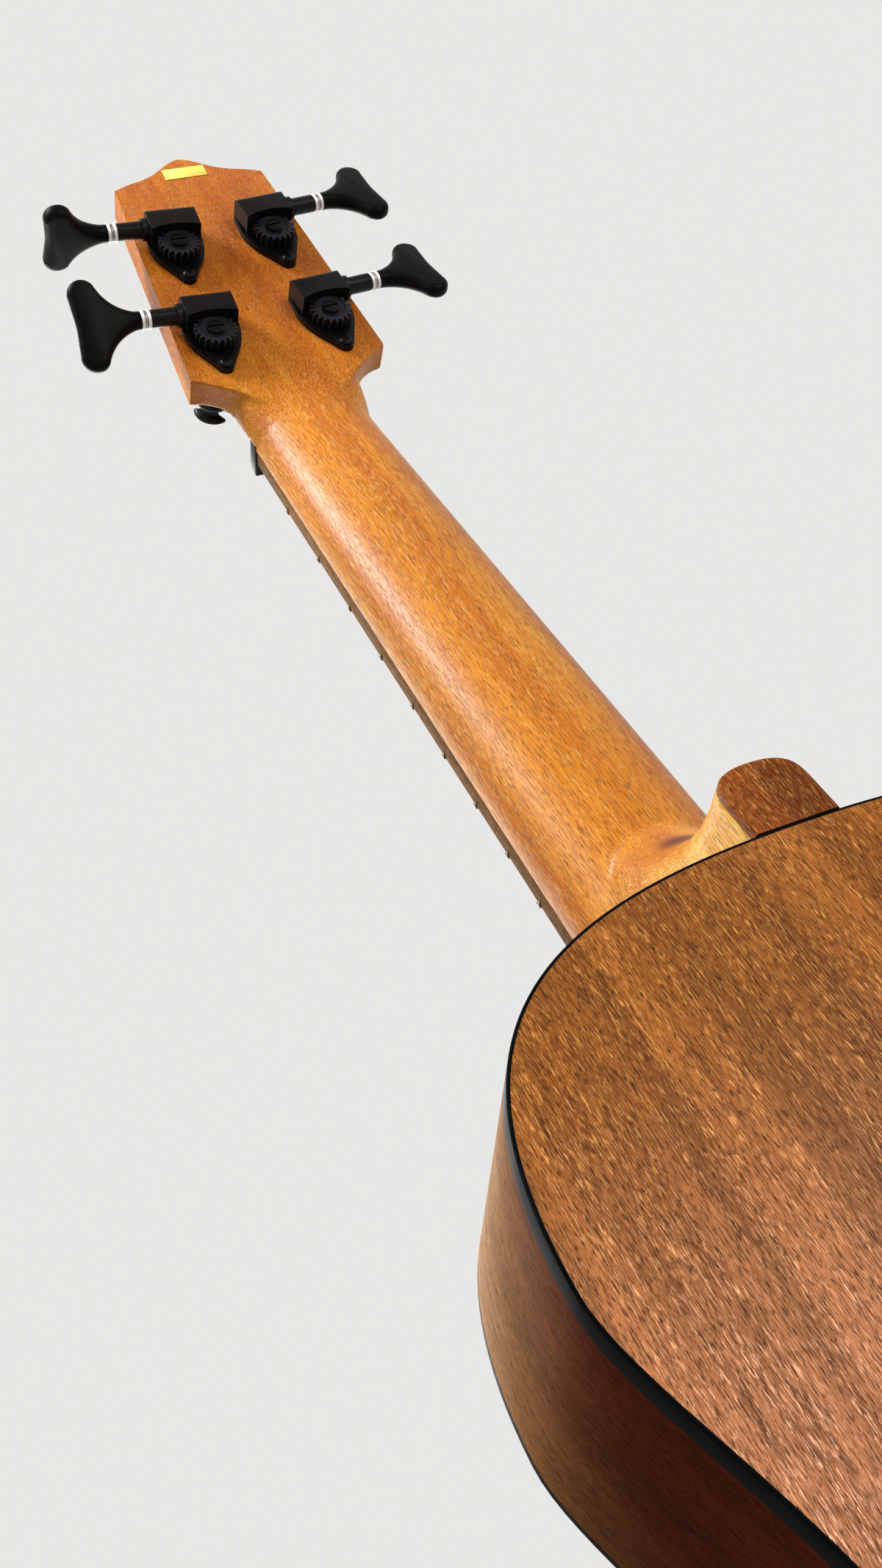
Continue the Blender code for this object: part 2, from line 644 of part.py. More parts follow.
def neck_section(x):
    """Round-backed section that squares up towards the head."""
    start, length = NECK_SQUARING
    power = NECK_POWER[0] + NECK_POWER[1] * ease((x - NUT_X - start) / length)
    past = max(x - NUT_X, 0)
    flare = (HEAD_THROAT[1] - HALF_WIDTH_AT_NUT) * (1 - (1 - min(past / HEAD_THROAT[0], 1)) ** 2)
    half = (neck_half_width(x) if past == 0 else HALF_WIDTH_AT_NUT) + flare
    top = 0 if past == 0 else head_face(x) - GLUE_LAP
    depth = top - neck_bottom(x)
    section = []
    for i in range(13):
        angle = math.pi * i / 12
        c, s = math.cos(angle), math.sin(angle)
        section.append((x, math.copysign(abs(c) ** (2 / power), c) * half, top - s ** (2 / power) * depth))
    return section


NECK_STATIONS = (
    [-NECK_LAP] + [BLEND_START * i / 4 for i in range(1, 5)]
    + [NUT_X - 0.45 * NECK_BLEND, NUT_X - 0.15 * NECK_BLEND, NUT_X]
    + [NUT_X + (BLEND_END - NUT_X) * i / 5 for i in range(1, 6)]
)
# height share, nose and half width as shares of the cap's, squareness of the nose; heel cap first
HEEL_SHAPE = (
    (0, 1, 1, 8), (0.17, 1.025, 1.06, 6.5), (0.36, 1.11, 1.2, 5), (0.54, 1.29, 1.42, 3.8),
    (0.72, 1.6, 1.66, 3), (0.86, 2.03, 1.95, 2.5), (0.95, 2.6, 2.15, 2.2), (1, 3.3, 2.3, 2),
)
HEEL_SIDE_POWER = 2.2
HEEL_STEPS = 10


def heel_outline(nose, half, power, start):
    """U-shaped plan of the heel: a superellipse with its open end towards the body."""
    points = [(start, half)]
    for i in range(1, HEEL_STEPS):
        angle = math.pi * (0.5 - i / HEEL_STEPS)
        c, s = math.cos(angle), math.sin(angle)
        points.append((c ** (2 / power) * nose, math.copysign(abs(s) ** (2 / HEEL_SIDE_POWER), s) * half))
    points.append((start, -half))
    return points


def heel_sections():
    """Heel in the body's frame, from above its cap up into the neck's back."""
    low = HEEL_CAP_THICKNESS + SEAT
    high = DEPTH_AT_NECK - NECK_DEPTH_AT_JOINT + GLUE_LAP
    sections = []
    for share, nose, width, power in HEEL_SHAPE:
        z = low + (high - low) * share
        plan = heel_outline(HEEL_LENGTH * nose, HEEL_HALF_WIDTH * width, power, -NECK_LAP)
        sections.append([(x, y, z) for x, y in plan])
    return sections


def head_outline(throat, cove, lead):
    """Head's outline from the throat round the ogee tip, in the head's own frame."""
    shoulder, corner = HEAD_SHOULDER, HEAD_TIP_CORNER
    leave = (throat[0] + cove[0][0], throat[1] + cove[0][1])
    arrive = (shoulder[0] - cove[1][0], shoulder[1] - cove[1][1])
    side = [(throat[0] - lead[0], throat[1] - lead[1])]
    side += [(x, y) for x, y, _, _ in bezier(throat, leave, arrive, shoulder, 5)]
    side += [shoulder, corner] + [(corner[0] + rise, half) for half, rise in HEAD_OGEE]
    return side + [(x, -y) for x, y in reversed(side[:-1])]


def head_blank():
    """Head's slab, whose throat is narrower at the back, where the neck is round."""
    back = head_outline(BACK_THROAT, BACK_COVE, BACK_LEAD)
    face = head_outline(HEAD_THROAT, HEAD_COVE, HEAD_LEAD)
    return loft("head_blank", [[(x, y, -HEAD_THICKNESS) for x, y in back], [(x, y, 0) for x, y in face]])


def tuner_places():
    """Side, distance from the nut and half spacing of each tuner."""
    return [(side, *TUNER_ROWS[row]) for _, _, _, side, row, _ in STRINGS]


def tuner_point(side, u, v, along):
    """Point on a tuner's own centre line, in the head's frame."""
    return (u + along * math.cos(EDGE_ANGLE), side * (v - along * math.sin(EDGE_ANGLE)))


def make_neck(root, top_frame, head_frame):
    neck = add_object("neck", loft("neck", [neck_section(x) for x in NECK_STATIONS]), "neck_mahogany",
                      top_frame)
    unite(neck, "head_blank", [head_blank()], head_frame)
    unite(neck, "heel_blank", [loft("heel_blank", heel_sections())], root)
    space = slab("body_space", full_outline(-SEAT), -1 * MM, 2 * DEPTH_AT_TAIL)
    cut(neck, "body_space", [space], root)
    nut_floor = head_face(NUT_X + NUT_WIDTH) - SEAT
    cut(neck, "nut_seat", [box("nut_seat", (NUT_X - SEAT, -0.04, nut_floor),
                               (NUT_X + NUT_WIDTH + SEAT, 0.04, 0.02))], top_frame)
    bores, seats = [], []
    for side, u, v in tuner_places():
        bores.append(rod("post_bore", POST_RADIUS + RUNNING_GAP, -0.02, 0.01, 16, centre=(u, side * v)))
        seats.append(rod("bushing_bore", BUSHING_BARREL[0] + SEAT, -BUSHING_BARREL[1] - SEAT, 0.01, 16,
                         centre=(u, side * v)))
        pilot = tuner_point(side, u, v, PLATE_SCREW_X)
        depth = -HEAD_THICKNESS + SCREW_SHANK[1] + SEAT
        seats.append(rod("screw_pilot", SCREW_SHANK[0] + SEAT, -0.02, depth, 8, centre=pilot))
    cut(neck, "post_bores", bores, head_frame)
    cut(neck, "bushing_and_screw_bores", seats, head_frame)
    cap_outline = heel_outline(HEEL_LENGTH, HEEL_HALF_WIDTH, HEEL_SHAPE[0][3], SEAT)
    share = 1 - HEEL_CAP_EDGE / HEEL_HALF_WIDTH
    inset = [(SEAT + (x - SEAT) * share, y * share) for x, y in cap_outline]
    cap = loft("heel_cap", [[(x, y, 0) for x, y in inset],
                            [(x, y, HEEL_CAP_EDGE) for x, y in cap_outline],
                            [(x, y, HEEL_CAP_THICKNESS) for x, y in cap_outline]])
    add_object("heel_cap", cap, "body_mahogany", root)
    length, width, thickness = LABEL_SIZE
    label = box("label", (-length / 2, -width / 2, -thickness - FLAT_SEAT),
                (length / 2, width / 2, -FLAT_SEAT))
    add_object("label", label, "label", head_frame, (LABEL_FROM_NUT, 0, -HEAD_THICKNESS))


def make_fretboard(top_frame):
    """Board with its frets, whose crowns and ends stand proud."""
    ends = [(x, neck_half_width(x)) for x in (NUT_X - SEAT, FRETBOARD_END)]
    outline = ends + [(x, -y) for x, y in reversed(ends)]
    board = add_object("fretboard", slab("fretboard", outline, SEAT, FRETBOARD_TOP), "walnut", top_frame)
    frets = []
    for number in range(1, FRET_COUNT + 1):
        x = NUT_X - fret_distance(number)
        half = neck_half_width(x) + FRET_END
        base = FRETBOARD_TOP - 1.4 * FRET_HEIGHT
        crown = [(-0.5, base), (-0.5, FRETBOARD_TOP), (-0.22, FRET_TOP), (0.22, FRET_TOP),
                 (0.5, FRETBOARD_TOP), (0.5, base)]
        frets.append(loft("fret", [[(x + w * FRET_WIDTH, y, z) for w, z in crown]
                                   for y in (-half, half)]))
    unite(board, "frets", frets, top_frame)


# Strings

def string_half_spread(index, outer):
    """Place of a string across the instrument, from the bass side inwards."""
    return outer * (1 - 2 * index / (len(STRINGS) - 1))


def nut_point(index, radius):
    y = string_half_spread(index, HALF_WIDTH_AT_NUT - NUT_EDGE_MARGIN)
    return Vector((NUT_X + NUT_WIDTH / 2, y, FRET_TOP + NUT_ACTION + radius))


def saddle_point(index, radius):
    y = string_half_spread(index, SADDLE_SPREAD)
    return Vector((SADDLE_X, y, SADDLE_TOP + SEAT + radius))


def winding_radius(radius):
    return POST_WAIST_RADIUS + radius + RUNNING_GAP


def winding_points(radius, turns, nut, out):
    """String from its tangent on the post, up its turns and in through the slot.

    Points are in the tuner's frame, where z grows backwards; nut is the nut's
    point there and out is the sign of the outward direction.
    """
    wide = winding_radius(radius)
    slot_level = HEAD_THICKNESS + POST_ABOVE_FACE - POST_SLOT[1] + SEAT + radius
    rise = (2 * radius + STRING_WINDING_GAP) / (2 * math.pi)
    reach = math.hypot(nut[0], nut[1])
    start = math.atan2(nut[1], nut[0]) + out * math.acos(wide / reach)
    wound = 2 * math.pi * turns
    steps = int(round(24 * turns))
    path = [(1.0, wound * i / steps) for i in range(steps + 1)]
    path += [(share, wound + SLOT_TURN * angle) for share, angle in TURN_IN]
    points = []
    for share, angle in path:
        level = slot_level - rise * (wound + SLOT_TURN - angle)
        bearing = start + out * angle
        points.append(Vector((wide * share * math.cos(bearing), wide * share * math.sin(bearing), -level)))
    return points, start


def slot_bearing(radius, turns, nut, out):
    _, start = winding_points(radius, turns, nut, out)
    return start + out * (2 * math.pi * turns + SLOT_TURN)


def least_gap(points, radius):
    """Least gap of a tube to itself, between points more than a bend apart."""
    skip = 2 * math.pi * winding_radius(radius) * 0.45
    travel = [0.0]
    for a, b in zip(points, points[1:]):
        travel.append(travel[-1] + (b - a).length)
    gap = 1.0
    for i, a in enumerate(points):
        for j in range(i + 1, len(points)):
            if travel[j] - travel[i] > skip:
                gap = min(gap, (points[j] - a).length - 2 * radius)
    return gap


def make_string(index, top_frame, tuner_frame):
    name, radius, turns, side, _, _ = STRINGS[index]
    out = -side
    place = top_frame.matrix_world.inverted() @ tuner_frame.matrix_world
    nut = nut_point(index, radius)
    saddle = saddle_point(index, radius)
    wound, _ = winding_points(radius, turns, place.inverted() @ nut, out)
    hole = Vector((SADDLE_X - BRIDGE_BEHIND_SADDLE, saddle.y, STRING_HOLE_HEIGHT))
    mouth = hole + Vector((TIE_BLOCK[0] + 1 * MM, 0, 0))
    tail = [hole - Vector((STRING_BEAD_LENGTH + SEAT, 0, 0)), hole - Vector((2 * SEAT, 0, 0)),
            hole - Vector((SEAT, 0, 0)), mouth, saddle - Vector((SADDLE[0] / 3, 0, 0)), saddle]
    over_nut = [nut - Vector((NUT_WIDTH / 2, 0, 0)), nut + Vector((NUT_WIDTH / 2, 0, 0))]
    points = tail + over_nut + [place @ p for p in wound]
    curve = bpy.data.curves.new("string_" + name, "CURVE")
    curve.dimensions = "3D"
    curve.bevel_depth = radius
    curve.bevel_resolution = 1
    curve.use_fill_caps = True
    spline = curve.splines.new("POLY")
    spline.points.add(len(points) - 1)
    for knot, point in zip(spline.points, points):
        knot.co = (*point, 1)
    for knot in list(spline.points)[:2]:
        knot.radius = 1.45
    item = bpy.data.objects.new("string_" + name, curve)
    item.parent = top_frame
    curve.materials.append(finish("string_" + name, "string"))
    PARTS.objects.link(item)
    print("string %s: least gap to itself %.2f mm" % (name, least_gap(wound, radius) / MM))


def make_nut(top_frame):
    half = HALF_WIDTH_AT_NUT + NUT_OVERHANG
    low = head_face(NUT_X + NUT_WIDTH)
    high = FRET_TOP + NUT_ABOVE_FRETS
    round_off = NUT_ROUND
    shape = [(0, low), (NUT_WIDTH, low), (NUT_WIDTH, high - 3 * round_off),
             (NUT_WIDTH - 2 * round_off, high - 0.4 * round_off), (round_off, high),
             (0, high - round_off / 2)]
    sections = [[(NUT_X + x, y, z - fall * (z > FRETBOARD_TOP)) for x, z in shape]
                for y, fall in ((-half, round_off), (-half + round_off, 0), (half - round_off, 0),
                                (half, round_off))]
    nut = add_object("nut", loft("nut", sections), "black_plastic", top_frame)
    slots = []
    for index, (_, radius, *_) in enumerate(STRINGS):
        centre = nut_point(index, radius)
        wide = radius + SEAT
        curve = [(wide * math.cos(a), wide * math.sin(a))
                 for a in (math.pi * (1 + i / 6) for i in range(7))]
        shape = curve + [(wide, 0.02), (-wide, 0.02)]
        slots.append(loft("nut_slot", [[(x, centre.y + y, centre.z + z) for y, z in shape]
                                       for x in (NUT_X - 1 * MM, NUT_X + NUT_WIDTH + 1 * MM)]))
    cut(nut, "nut_slots", slots, top_frame)


def make_bridge(top_frame):
    """Bridge with a tie block for the string ends and a ridge for the saddle."""
    back = SADDLE_X - BRIDGE_BEHIND_SADDLE
    front = back + BRIDGE_WIDTH
    half, corner = BRIDGE_HALF_LENGTH, BRIDGE_CORNER
    quarter = [(corner * (1 - math.sin(a)), corner * (1 - math.cos(a)))
               for a in (math.pi / 2 * i / 3 for i in range(4))]
    side = [(front - dx, half - dy) for dx, dy in reversed(quarter)]
    side += [(back + dx, half - dy) for dx, dy in quarter]
    outline = side + [(x, -y) for x, y in reversed(side)]
    bridge = add_object("bridge", slab("bridge", outline, SEAT, BRIDGE_BASE), "walnut", top_frame)
    length, block_half, height = TIE_BLOCK
    ridge_length, ridge_height = SADDLE_RIDGE
    lower = BRIDGE_BASE - GLUE_LAP
    unite(bridge, "tie_block", [
        loft("tie_block", [[(back + x, y, z) for x, z in
                            ((1.2 * MM, lower), (1.2 * MM, height - 1.5 * MM), (3 * MM, height),
                             (length - 1 * MM, height), (length, height - 1 * MM), (length, lower))]
                           for y in (-block_half, block_half)]),
        box("saddle_ridge", (SADDLE_X - ridge_length / 2, -block_half, lower),
            (SADDLE_X + ridge_length / 2, block_half, ridge_height))], top_frame)
    thickness, saddle_half = SADDLE
    cuts = [box("saddle_slot", (SADDLE_X - thickness / 2 - SEAT, -saddle_half - SEAT, SADDLE_SLOT_FLOOR),
                (SADDLE_X + thickness / 2 + SEAT, saddle_half + SEAT, 0.02))]
    for index, (_, radius, *_) in enumerate(STRINGS):
        y = string_half_spread(index, SADDLE_SPREAD)
        ends = (back - 2 * MM, back + length + 2 * MM)
        cuts.append(rod("string_hole", radius + STRING_HOLE_GAP, *ends, 10, "X",
                        (y, STRING_HOLE_HEIGHT)))
    cut(bridge, "bridge_cuts", cuts, top_frame)
    pickup_low = SADDLE_SLOT_FLOOR + SEAT
    pickup = box("pickup_strip", (SADDLE_X - thickness / 2, -saddle_half, pickup_low),
                 (SADDLE_X + thickness / 2, saddle_half, pickup_low + PICKUP_THICKNESS))
    add_object("pickup_strip", pickup, "steel", top_frame)
    low = pickup_low + PICKUP_THICKNESS + SEAT
    bevel = SADDLE_TOP - thickness / 4
    shape = [(-thickness / 2, low), (thickness / 2, low), (thickness / 2, bevel),
             (thickness / 4, SADDLE_TOP), (-thickness / 4, SADDLE_TOP), (-thickness / 2, bevel)]
    saddle = loft("saddle", [[(SADDLE_X + x, y, z) for x, z in shape] for y in (-saddle_half, saddle_half)])
    add_object("saddle", saddle, "bone", top_frame)


# Tuning machines; x runs towards the head's tip, z backwards from its back face

def plate_outline():
    """Shield-shaped outline of the base plate, pointed towards the nut."""
    far = SHAFT_OFFSET + WORM_TIP + RUNNING_GAP + HOUSING_WALL
    side = [(far, HOUSING_HALF_WIDTH), (5.5 * MM, PLATE_HALF_WIDTH), (0, 0.93 * PLATE_HALF_WIDTH),
            (-4.6 * MM, 0.76 * PLATE_HALF_WIDTH), (-9.4 * MM, 0.51 * PLATE_HALF_WIDTH)]
    for i in range(4):
        angle = math.radians(112 + 68 * i / 3)
        side.append((PLATE_SCREW_X + PLATE_TIP_RADIUS * math.cos(angle), PLATE_TIP_RADIUS * math.sin(angle)))
    return side + [(x, -y) for x, y in reversed(side[:-1])]


def inset_outline(outline, distance):
    """Closed outline moved inwards by a distance along its corner normals."""
    moved = []
    count = len(outline)
    for i, (x, y) in enumerate(outline):
        before, after = outline[i - 1], outline[(i + 1) % count]
        tx, ty = after[0] - before[0], after[1] - before[1]
        length = math.hypot(tx, ty)
        moved.append((x - ty / length * distance, y + tx / length * distance))
    return moved


def housing_mesh(name):
    outline = plate_outline()
    inner = inset_outline(outline, PLATE_EDGE)
    return loft(name, [[(x, y, FLAT_SEAT) for x, y in outline],
                       [(x, y, PLATE_HEIGHT - PLATE_EDGE) for x, y in outline],
                       [(x, y, PLATE_HEIGHT) for x, y in inner]])


def hood_mesh(name):
    """Hood over the worm: rounded on its far side, with chamfered ends."""
    near = HOUSING_MOUTH - HOUSING_HOLLOW - GLUE_LAP
    far = SHAFT_OFFSET + WORM_TIP + RUNNING_GAP + HOUSING_WALL
    top, bend = HOUSING_HEIGHT, HOUSING_ROUND
    lower = PLATE_HEIGHT - GLUE_LAP
    sections = []
    half, chamfer = HOUSING_HALF_WIDTH, HOUSING_CHAMFER
    for y, trim in ((-half, chamfer), (-half + chamfer, 0), (half - chamfer, 0), (half, chamfer)):
        edge = far - trim
        roof = top - trim
        arc = [(edge - bend * (1 - math.sin(a)), roof - bend * (1 - math.cos(a)))
               for a in (math.pi / 2 * (1 - i / 3) for i in range(4))]
        sections.append([(x, y, z) for x, z in [(near, lower), (edge, lower)] + arc + [(near, roof)]])
    return loft(name, sections)


def make_housing(name, out, frame):
    housing = add_object(name, housing_mesh(name), "black_metal", frame)
    axis = (SHAFT_OFFSET, SHAFT_HEIGHT)
    half = HOUSING_HALF_WIDTH
    ends = sorted((out * (half - GLUE_LAP), out * (half + COLLAR_LENGTH)))
    collar = rod(name + "_collar", COLLAR_RADIUS, ends[0], ends[1], 16, "Y", axis)
    unite(housing, name + "_hood", [hood_mesh(name + "_hood")], frame)
    unite(housing, name + "_collar", [collar], frame)
    chord, rise = half, HOUSING_HOLLOW
    bow = (chord * chord + rise * rise) / (2 * rise)
    hollow = rod("hollow", bow, PLATE_HEIGHT, 2 * HOUSING_HEIGHT, 48, centre=(HOUSING_MOUTH - bow, 0))
    wheel_room = rod("wheel_room", WHEEL_TIP + RUNNING_GAP, PLATE_HEIGHT,
                     SHAFT_HEIGHT + WHEEL_WIDTH / 2 + SEAT, 24)
    worm_half = WORM_TURNS * WORM_PITCH / 2 + WORM_RUN_OUT
    room = rod("worm_room", WORM_TIP + RUNNING_GAP, -worm_half - SEAT, worm_half + SEAT, 12, "Y", axis)
    shaft_ends = sorted((out * worm_half, out * 2 * half))
    shaft_bore = rod("shaft_bore", SHAFT_RADIUS + RUNNING_GAP, shaft_ends[0], shaft_ends[1], 12, "Y", axis)
    inner_ends = sorted((-out * worm_half, -out * (worm_half + JOURNAL_LENGTH + 2 * SEAT)))
    journal = rod("journal", JOURNAL_RADIUS + RUNNING_GAP, inner_ends[0], inner_ends[1], 8, "Y", axis)
    cut(housing, name + "_hollow", [hollow], frame)
    cut(housing, name + "_wheel_room", [wheel_room], frame)
    cut(housing, name + "_worm_room", [room], frame)
    cut(housing, name + "_shaft_bore", [shaft_bore], frame)
    cut(housing, name + "_journal", [journal], frame)
    post = rod("post_hole", POST_RADIUS + RUNNING_GAP, -1 * MM, 2 * PLATE_HEIGHT, 16)
    screw = rod("screw_hole", SCREW_SHANK[0] + SEAT, -1 * MM, 2 * PLATE_HEIGHT, 8, centre=(PLATE_SCREW_X, 0))
    cut(housing, name + "_holes", [post, screw], frame)


def worm_rows():
    """Rows of the thread along its helix: root, crest, crest, root."""
    crest = THREAD_THICKNESS / 2 - TOOTH_ADDENDUM * math.tan(FLANK_ANGLE)
    foot = THREAD_THICKNESS / 2 + (WORM_RADIUS - WORM_ROOT) * math.tan(FLANK_ANGLE)
    count = WORM_TURNS * WORM_STEPS
    rows = []
    for i in range(count + 1):
        angle = math.pi + 2 * math.pi * (i - count / 2) / WORM_STEPS
        along = WORM_PITCH * (i - count / 2) / WORM_STEPS
        fade = min(i, count - i) / (WORM_STEPS / 4)
        tip = WORM_ROOT + (WORM_TIP - WORM_ROOT) * min(fade, 1)
        rows.append([(r * math.cos(angle), r * math.sin(angle), along + z)
                     for z, r in ((-foot, WORM_ROOT), (-crest, tip), (crest, tip), (foot, WORM_ROOT))])
    return rows


def shaft_mesh(name):
    """Shaft along z: inner journal, single-start worm, plain shaft, rings and key stub."""
    bm = bmesh.new()
    rows = [[bm.verts.new(point) for point in row] for row in worm_rows()]
    turn, last = WORM_STEPS, len(rows) - 1
    for i in range(last):
        for k in range(3):
            bm.faces.new((rows[i][k], rows[i][k + 1], rows[i + 1][k + 1], rows[i + 1][k]))
        if i + turn < last:
            bm.faces.new((rows[i][3], rows[i + turn][0], rows[i + turn + 1][0], rows[i + 1][3]))
    start = math.pi - math.pi * WORM_TURNS
    worm_half = WORM_TURNS * WORM_PITCH / 2 + WORM_RUN_OUT

    def ring(radius, z):
        angles = [start + 2 * math.pi * k / turn for k in range(turn)]
        return [bm.verts.new((radius * math.cos(a), radius * math.sin(a), z)) for a in angles]

    def band(lower, upper):
        for k in range(turn):
            j = (k + 1) % turn
            bm.faces.new((lower[k], lower[j], upper[j], upper[k]))

    bottom, top = ring(WORM_ROOT, -worm_half), ring(WORM_ROOT, worm_half)
    for k in range(turn - 1):
        bm.faces.new((bottom[k], bottom[k + 1], rows[k + 1][0], rows[k][0]))
        bm.faces.new((rows[last - turn + k + 1][3], rows[last - turn + k + 2][3], top[(k + 2) % turn],
                      top[k + 1]))
    bm.faces.new((bottom[-1], bottom[0], *rows[0], rows[turn][0], rows[turn - 1][0]))
    bm.faces.new((rows[last - turn][3], rows[last - turn + 1][3], top[1], top[0], *reversed(rows[last])))
    inner = [(JOURNAL_RADIUS, -worm_half), (JOURNAL_RADIUS, -worm_half - JOURNAL_LENGTH)]
    before = RING_CENTRE - 1.5 * RING_WIDTH
    outer = [(SHAFT_RADIUS, worm_half + SEAT)]
    for i in range(4):
        z = before + i * RING_WIDTH
        pair = (SHAFT_RADIUS, RING_RADIUS) if i % 2 == 0 else (RING_RADIUS, SHAFT_RADIUS)
        outer += [(pair[0], z), (pair[1], z)]
    outer += [(KEY_STUB[0], before + 3 * RING_WIDTH), (KEY_STUB[0], before + 3 * RING_WIDTH + KEY_STUB[1])]
    current = bottom
    for radius, z in inner:
        following = ring(radius, z)
        band(following, current)
        current = following
    bm.faces.new(list(reversed(current)))
    current = top
    for radius, z in outer:
        following = ring(radius, z)
        band(current, following)
        current = following
    bm.faces.new(current)
    return mesh_from(name, bm)


def key_outline():
    """Outline of the clover key in (across, along the shaft), stem first."""
    length, spread, lobe = KEY_LENGTH, KEY_LOBE_SPREAD, KEY_LOBE_RADIUS
    centre = length - lobe
    side = [(SHAFT_RADIUS, 0), (SHAFT_RADIUS, 0.11 * length), (1.24 * SHAFT_RADIUS, 0.25 * length),
            (1.76 * SHAFT_RADIUS, 0.39 * length), (2.56 * SHAFT_RADIUS, 0.515 * length)]
    for degrees in (-75, -40, -5, 30, 65, 100):
        angle = math.radians(degrees)
        side.append((spread + lobe * math.cos(angle), centre + lobe * math.sin(angle)))
    side.append((0.55 * spread, length - 0.52 * KEY_HOLLOW))
    return side + [(0, length - KEY_HOLLOW)] + [(-x, z) for x, z in reversed(side)]


def key_mesh(name):
    """Key with rounded edges that thins from its stem to its lobes."""
    outline = key_outline()
    sections = []
    for degrees in (-75, -42, 0, 42, 75):
        angle = math.radians(degrees)
        inset = inset_outline(outline, SHAFT_RADIUS * (1 - math.cos(angle)))
        section = []
        for (x, z), (x0, z0) in zip(inset, outline):
            share = z0 / KEY_LENGTH
            thick = SHAFT_RADIUS + (KEY_LOBE_HALF_THICKNESS - SHAFT_RADIUS) * share
            if z0 == 0:
                x, z = math.copysign(abs(x0) * math.cos(angle), x0), 0
            section.append((x, thick * math.sin(angle), KEY_START + z))
        sections.append(section)
    return loft(name, sections)


def wheel_outline(turn):
    """Teeth with a gap centred on the +x axis when turn is zero."""
    points = []
    tip_half = TOOTH_THICKNESS / 2 - TOOTH_ADDENDUM * math.tan(FLANK_ANGLE * 1.2)
    foot_half = TOOTH_THICKNESS / 2 + (WHEEL_RADIUS - WHEEL_ROOT) * math.tan(FLANK_ANGLE * 0.8)
    for tooth in range(WHEEL_TEETH):
        middle = 2 * math.pi * (tooth + 0.5) / WHEEL_TEETH + turn
        for radius, half in ((WHEEL_ROOT, -foot_half), (WHEEL_TIP, -tip_half), (WHEEL_TIP, tip_half),
                             (WHEEL_ROOT, foot_half)):
            angle = middle + half / radius
            points.append((radius * math.cos(angle), radius * math.sin(angle)))
    return points


def make_wheel(name, frame):
    """Worm wheel whose teeth are twisted to the worm's lead."""
    half = WHEEL_WIDTH / 2
    sections = []
    for z in (-half, half):
        twist = z * LEAD_SLOPE / WHEEL_RADIUS
        sections.append([(x, y, z) for x, y in wheel_outline(twist)])
    wheel = add_object(name, loft(name, sections), "steel", frame, (0, 0, SHAFT_HEIGHT))
    radius, height = WHEEL_SCREW
    head = rod(name + "_screw", radius, half - GLUE_LAP, half + height, 12)
    unite(wheel, name + "_screw", [head], wheel)
    bore = rod(name + "_bore", WHEEL_STUB_RADIUS + SEAT, -2 * half, half - WHEEL_STUB_SHORT, 12)
    slot_half, depth = SCREW_SLOT[0] / 2, SCREW_SLOT[1]
    slot = box(name + "_slot", (-slot_half, -2 * radius, half + height - depth),
               (slot_half, 2 * radius, half + 2 * height))
    cut(wheel, name + "_bore", [bore, slot], wheel)


def make_post(name, bearing, frame):
    """String post, turned from its stub in the wheel to its slotted top."""
    shoulder = SHAFT_HEIGHT - WHEEL_WIDTH / 2 - SEAT
    stub_end = SHAFT_HEIGHT + WHEEL_WIDTH / 2 - WHEEL_STUB_SHORT - SEAT
    face = -HEAD_THICKNESS
    tip = face - POST_ABOVE_FACE
    profile = [(0, stub_end), (WHEEL_STUB_RADIUS, stub_end), (WHEEL_STUB_RADIUS, shoulder),
               (POST_RADIUS, shoulder), (POST_RADIUS, face - BUSHING_FLANGE[1]),
               (POST_WAIST_RADIUS, face - BUSHING_FLANGE[1] - SEAT), (POST_WAIST_RADIUS, tip + POST_FLARE),
               (POST_TOP_RADIUS - 0.3 * MM, tip + POST_FLARE - 0.9 * MM), (POST_TOP_RADIUS, tip + 0.6 * MM),
               (POST_TOP_RADIUS - 0.6 * MM, tip), (0, tip)]
    post = add_turned(name, profile, "black_metal", frame, 16)
    width, depth = POST_SLOT
    slot = box(name + "_slot", (-0.01, -width / 2, tip - 1 * MM), (0.01, width / 2, tip + depth))
    cut(post, name + "_slot", [slot], frame, rotation=(0, 0, bearing))


def make_bushing(name, frame):
    flange, height = BUSHING_FLANGE
    barrel, depth = BUSHING_BARREL
    bore = POST_RADIUS + RUNNING_GAP
    face = -HEAD_THICKNESS
    profile = [(bore, face + depth), (barrel, face + depth), (barrel, face - FLAT_SEAT),
               (flange, face - FLAT_SEAT), (flange, face - 0.6 * height),
               (flange - 0.4 * height, face - height), (bore, face - height)]
    add_turned(name, profile, "black_metal", frame, 16, True)


def make_screw(name, frame):
    head, height = SCREW_HEAD
    shank, length = SCREW_SHANK
    seat = PLATE_HEIGHT + FLAT_SEAT
    profile = [(0, seat + height), (0.6 * head, seat + height), (head, seat + 0.5 * height), (head, seat),
               (shank, seat), (shank, -length + 2 * MM), (0, -length)]
    add_turned(name, profile, "black_metal", frame, 10, location=(PLATE_SCREW_X, 0, 0))


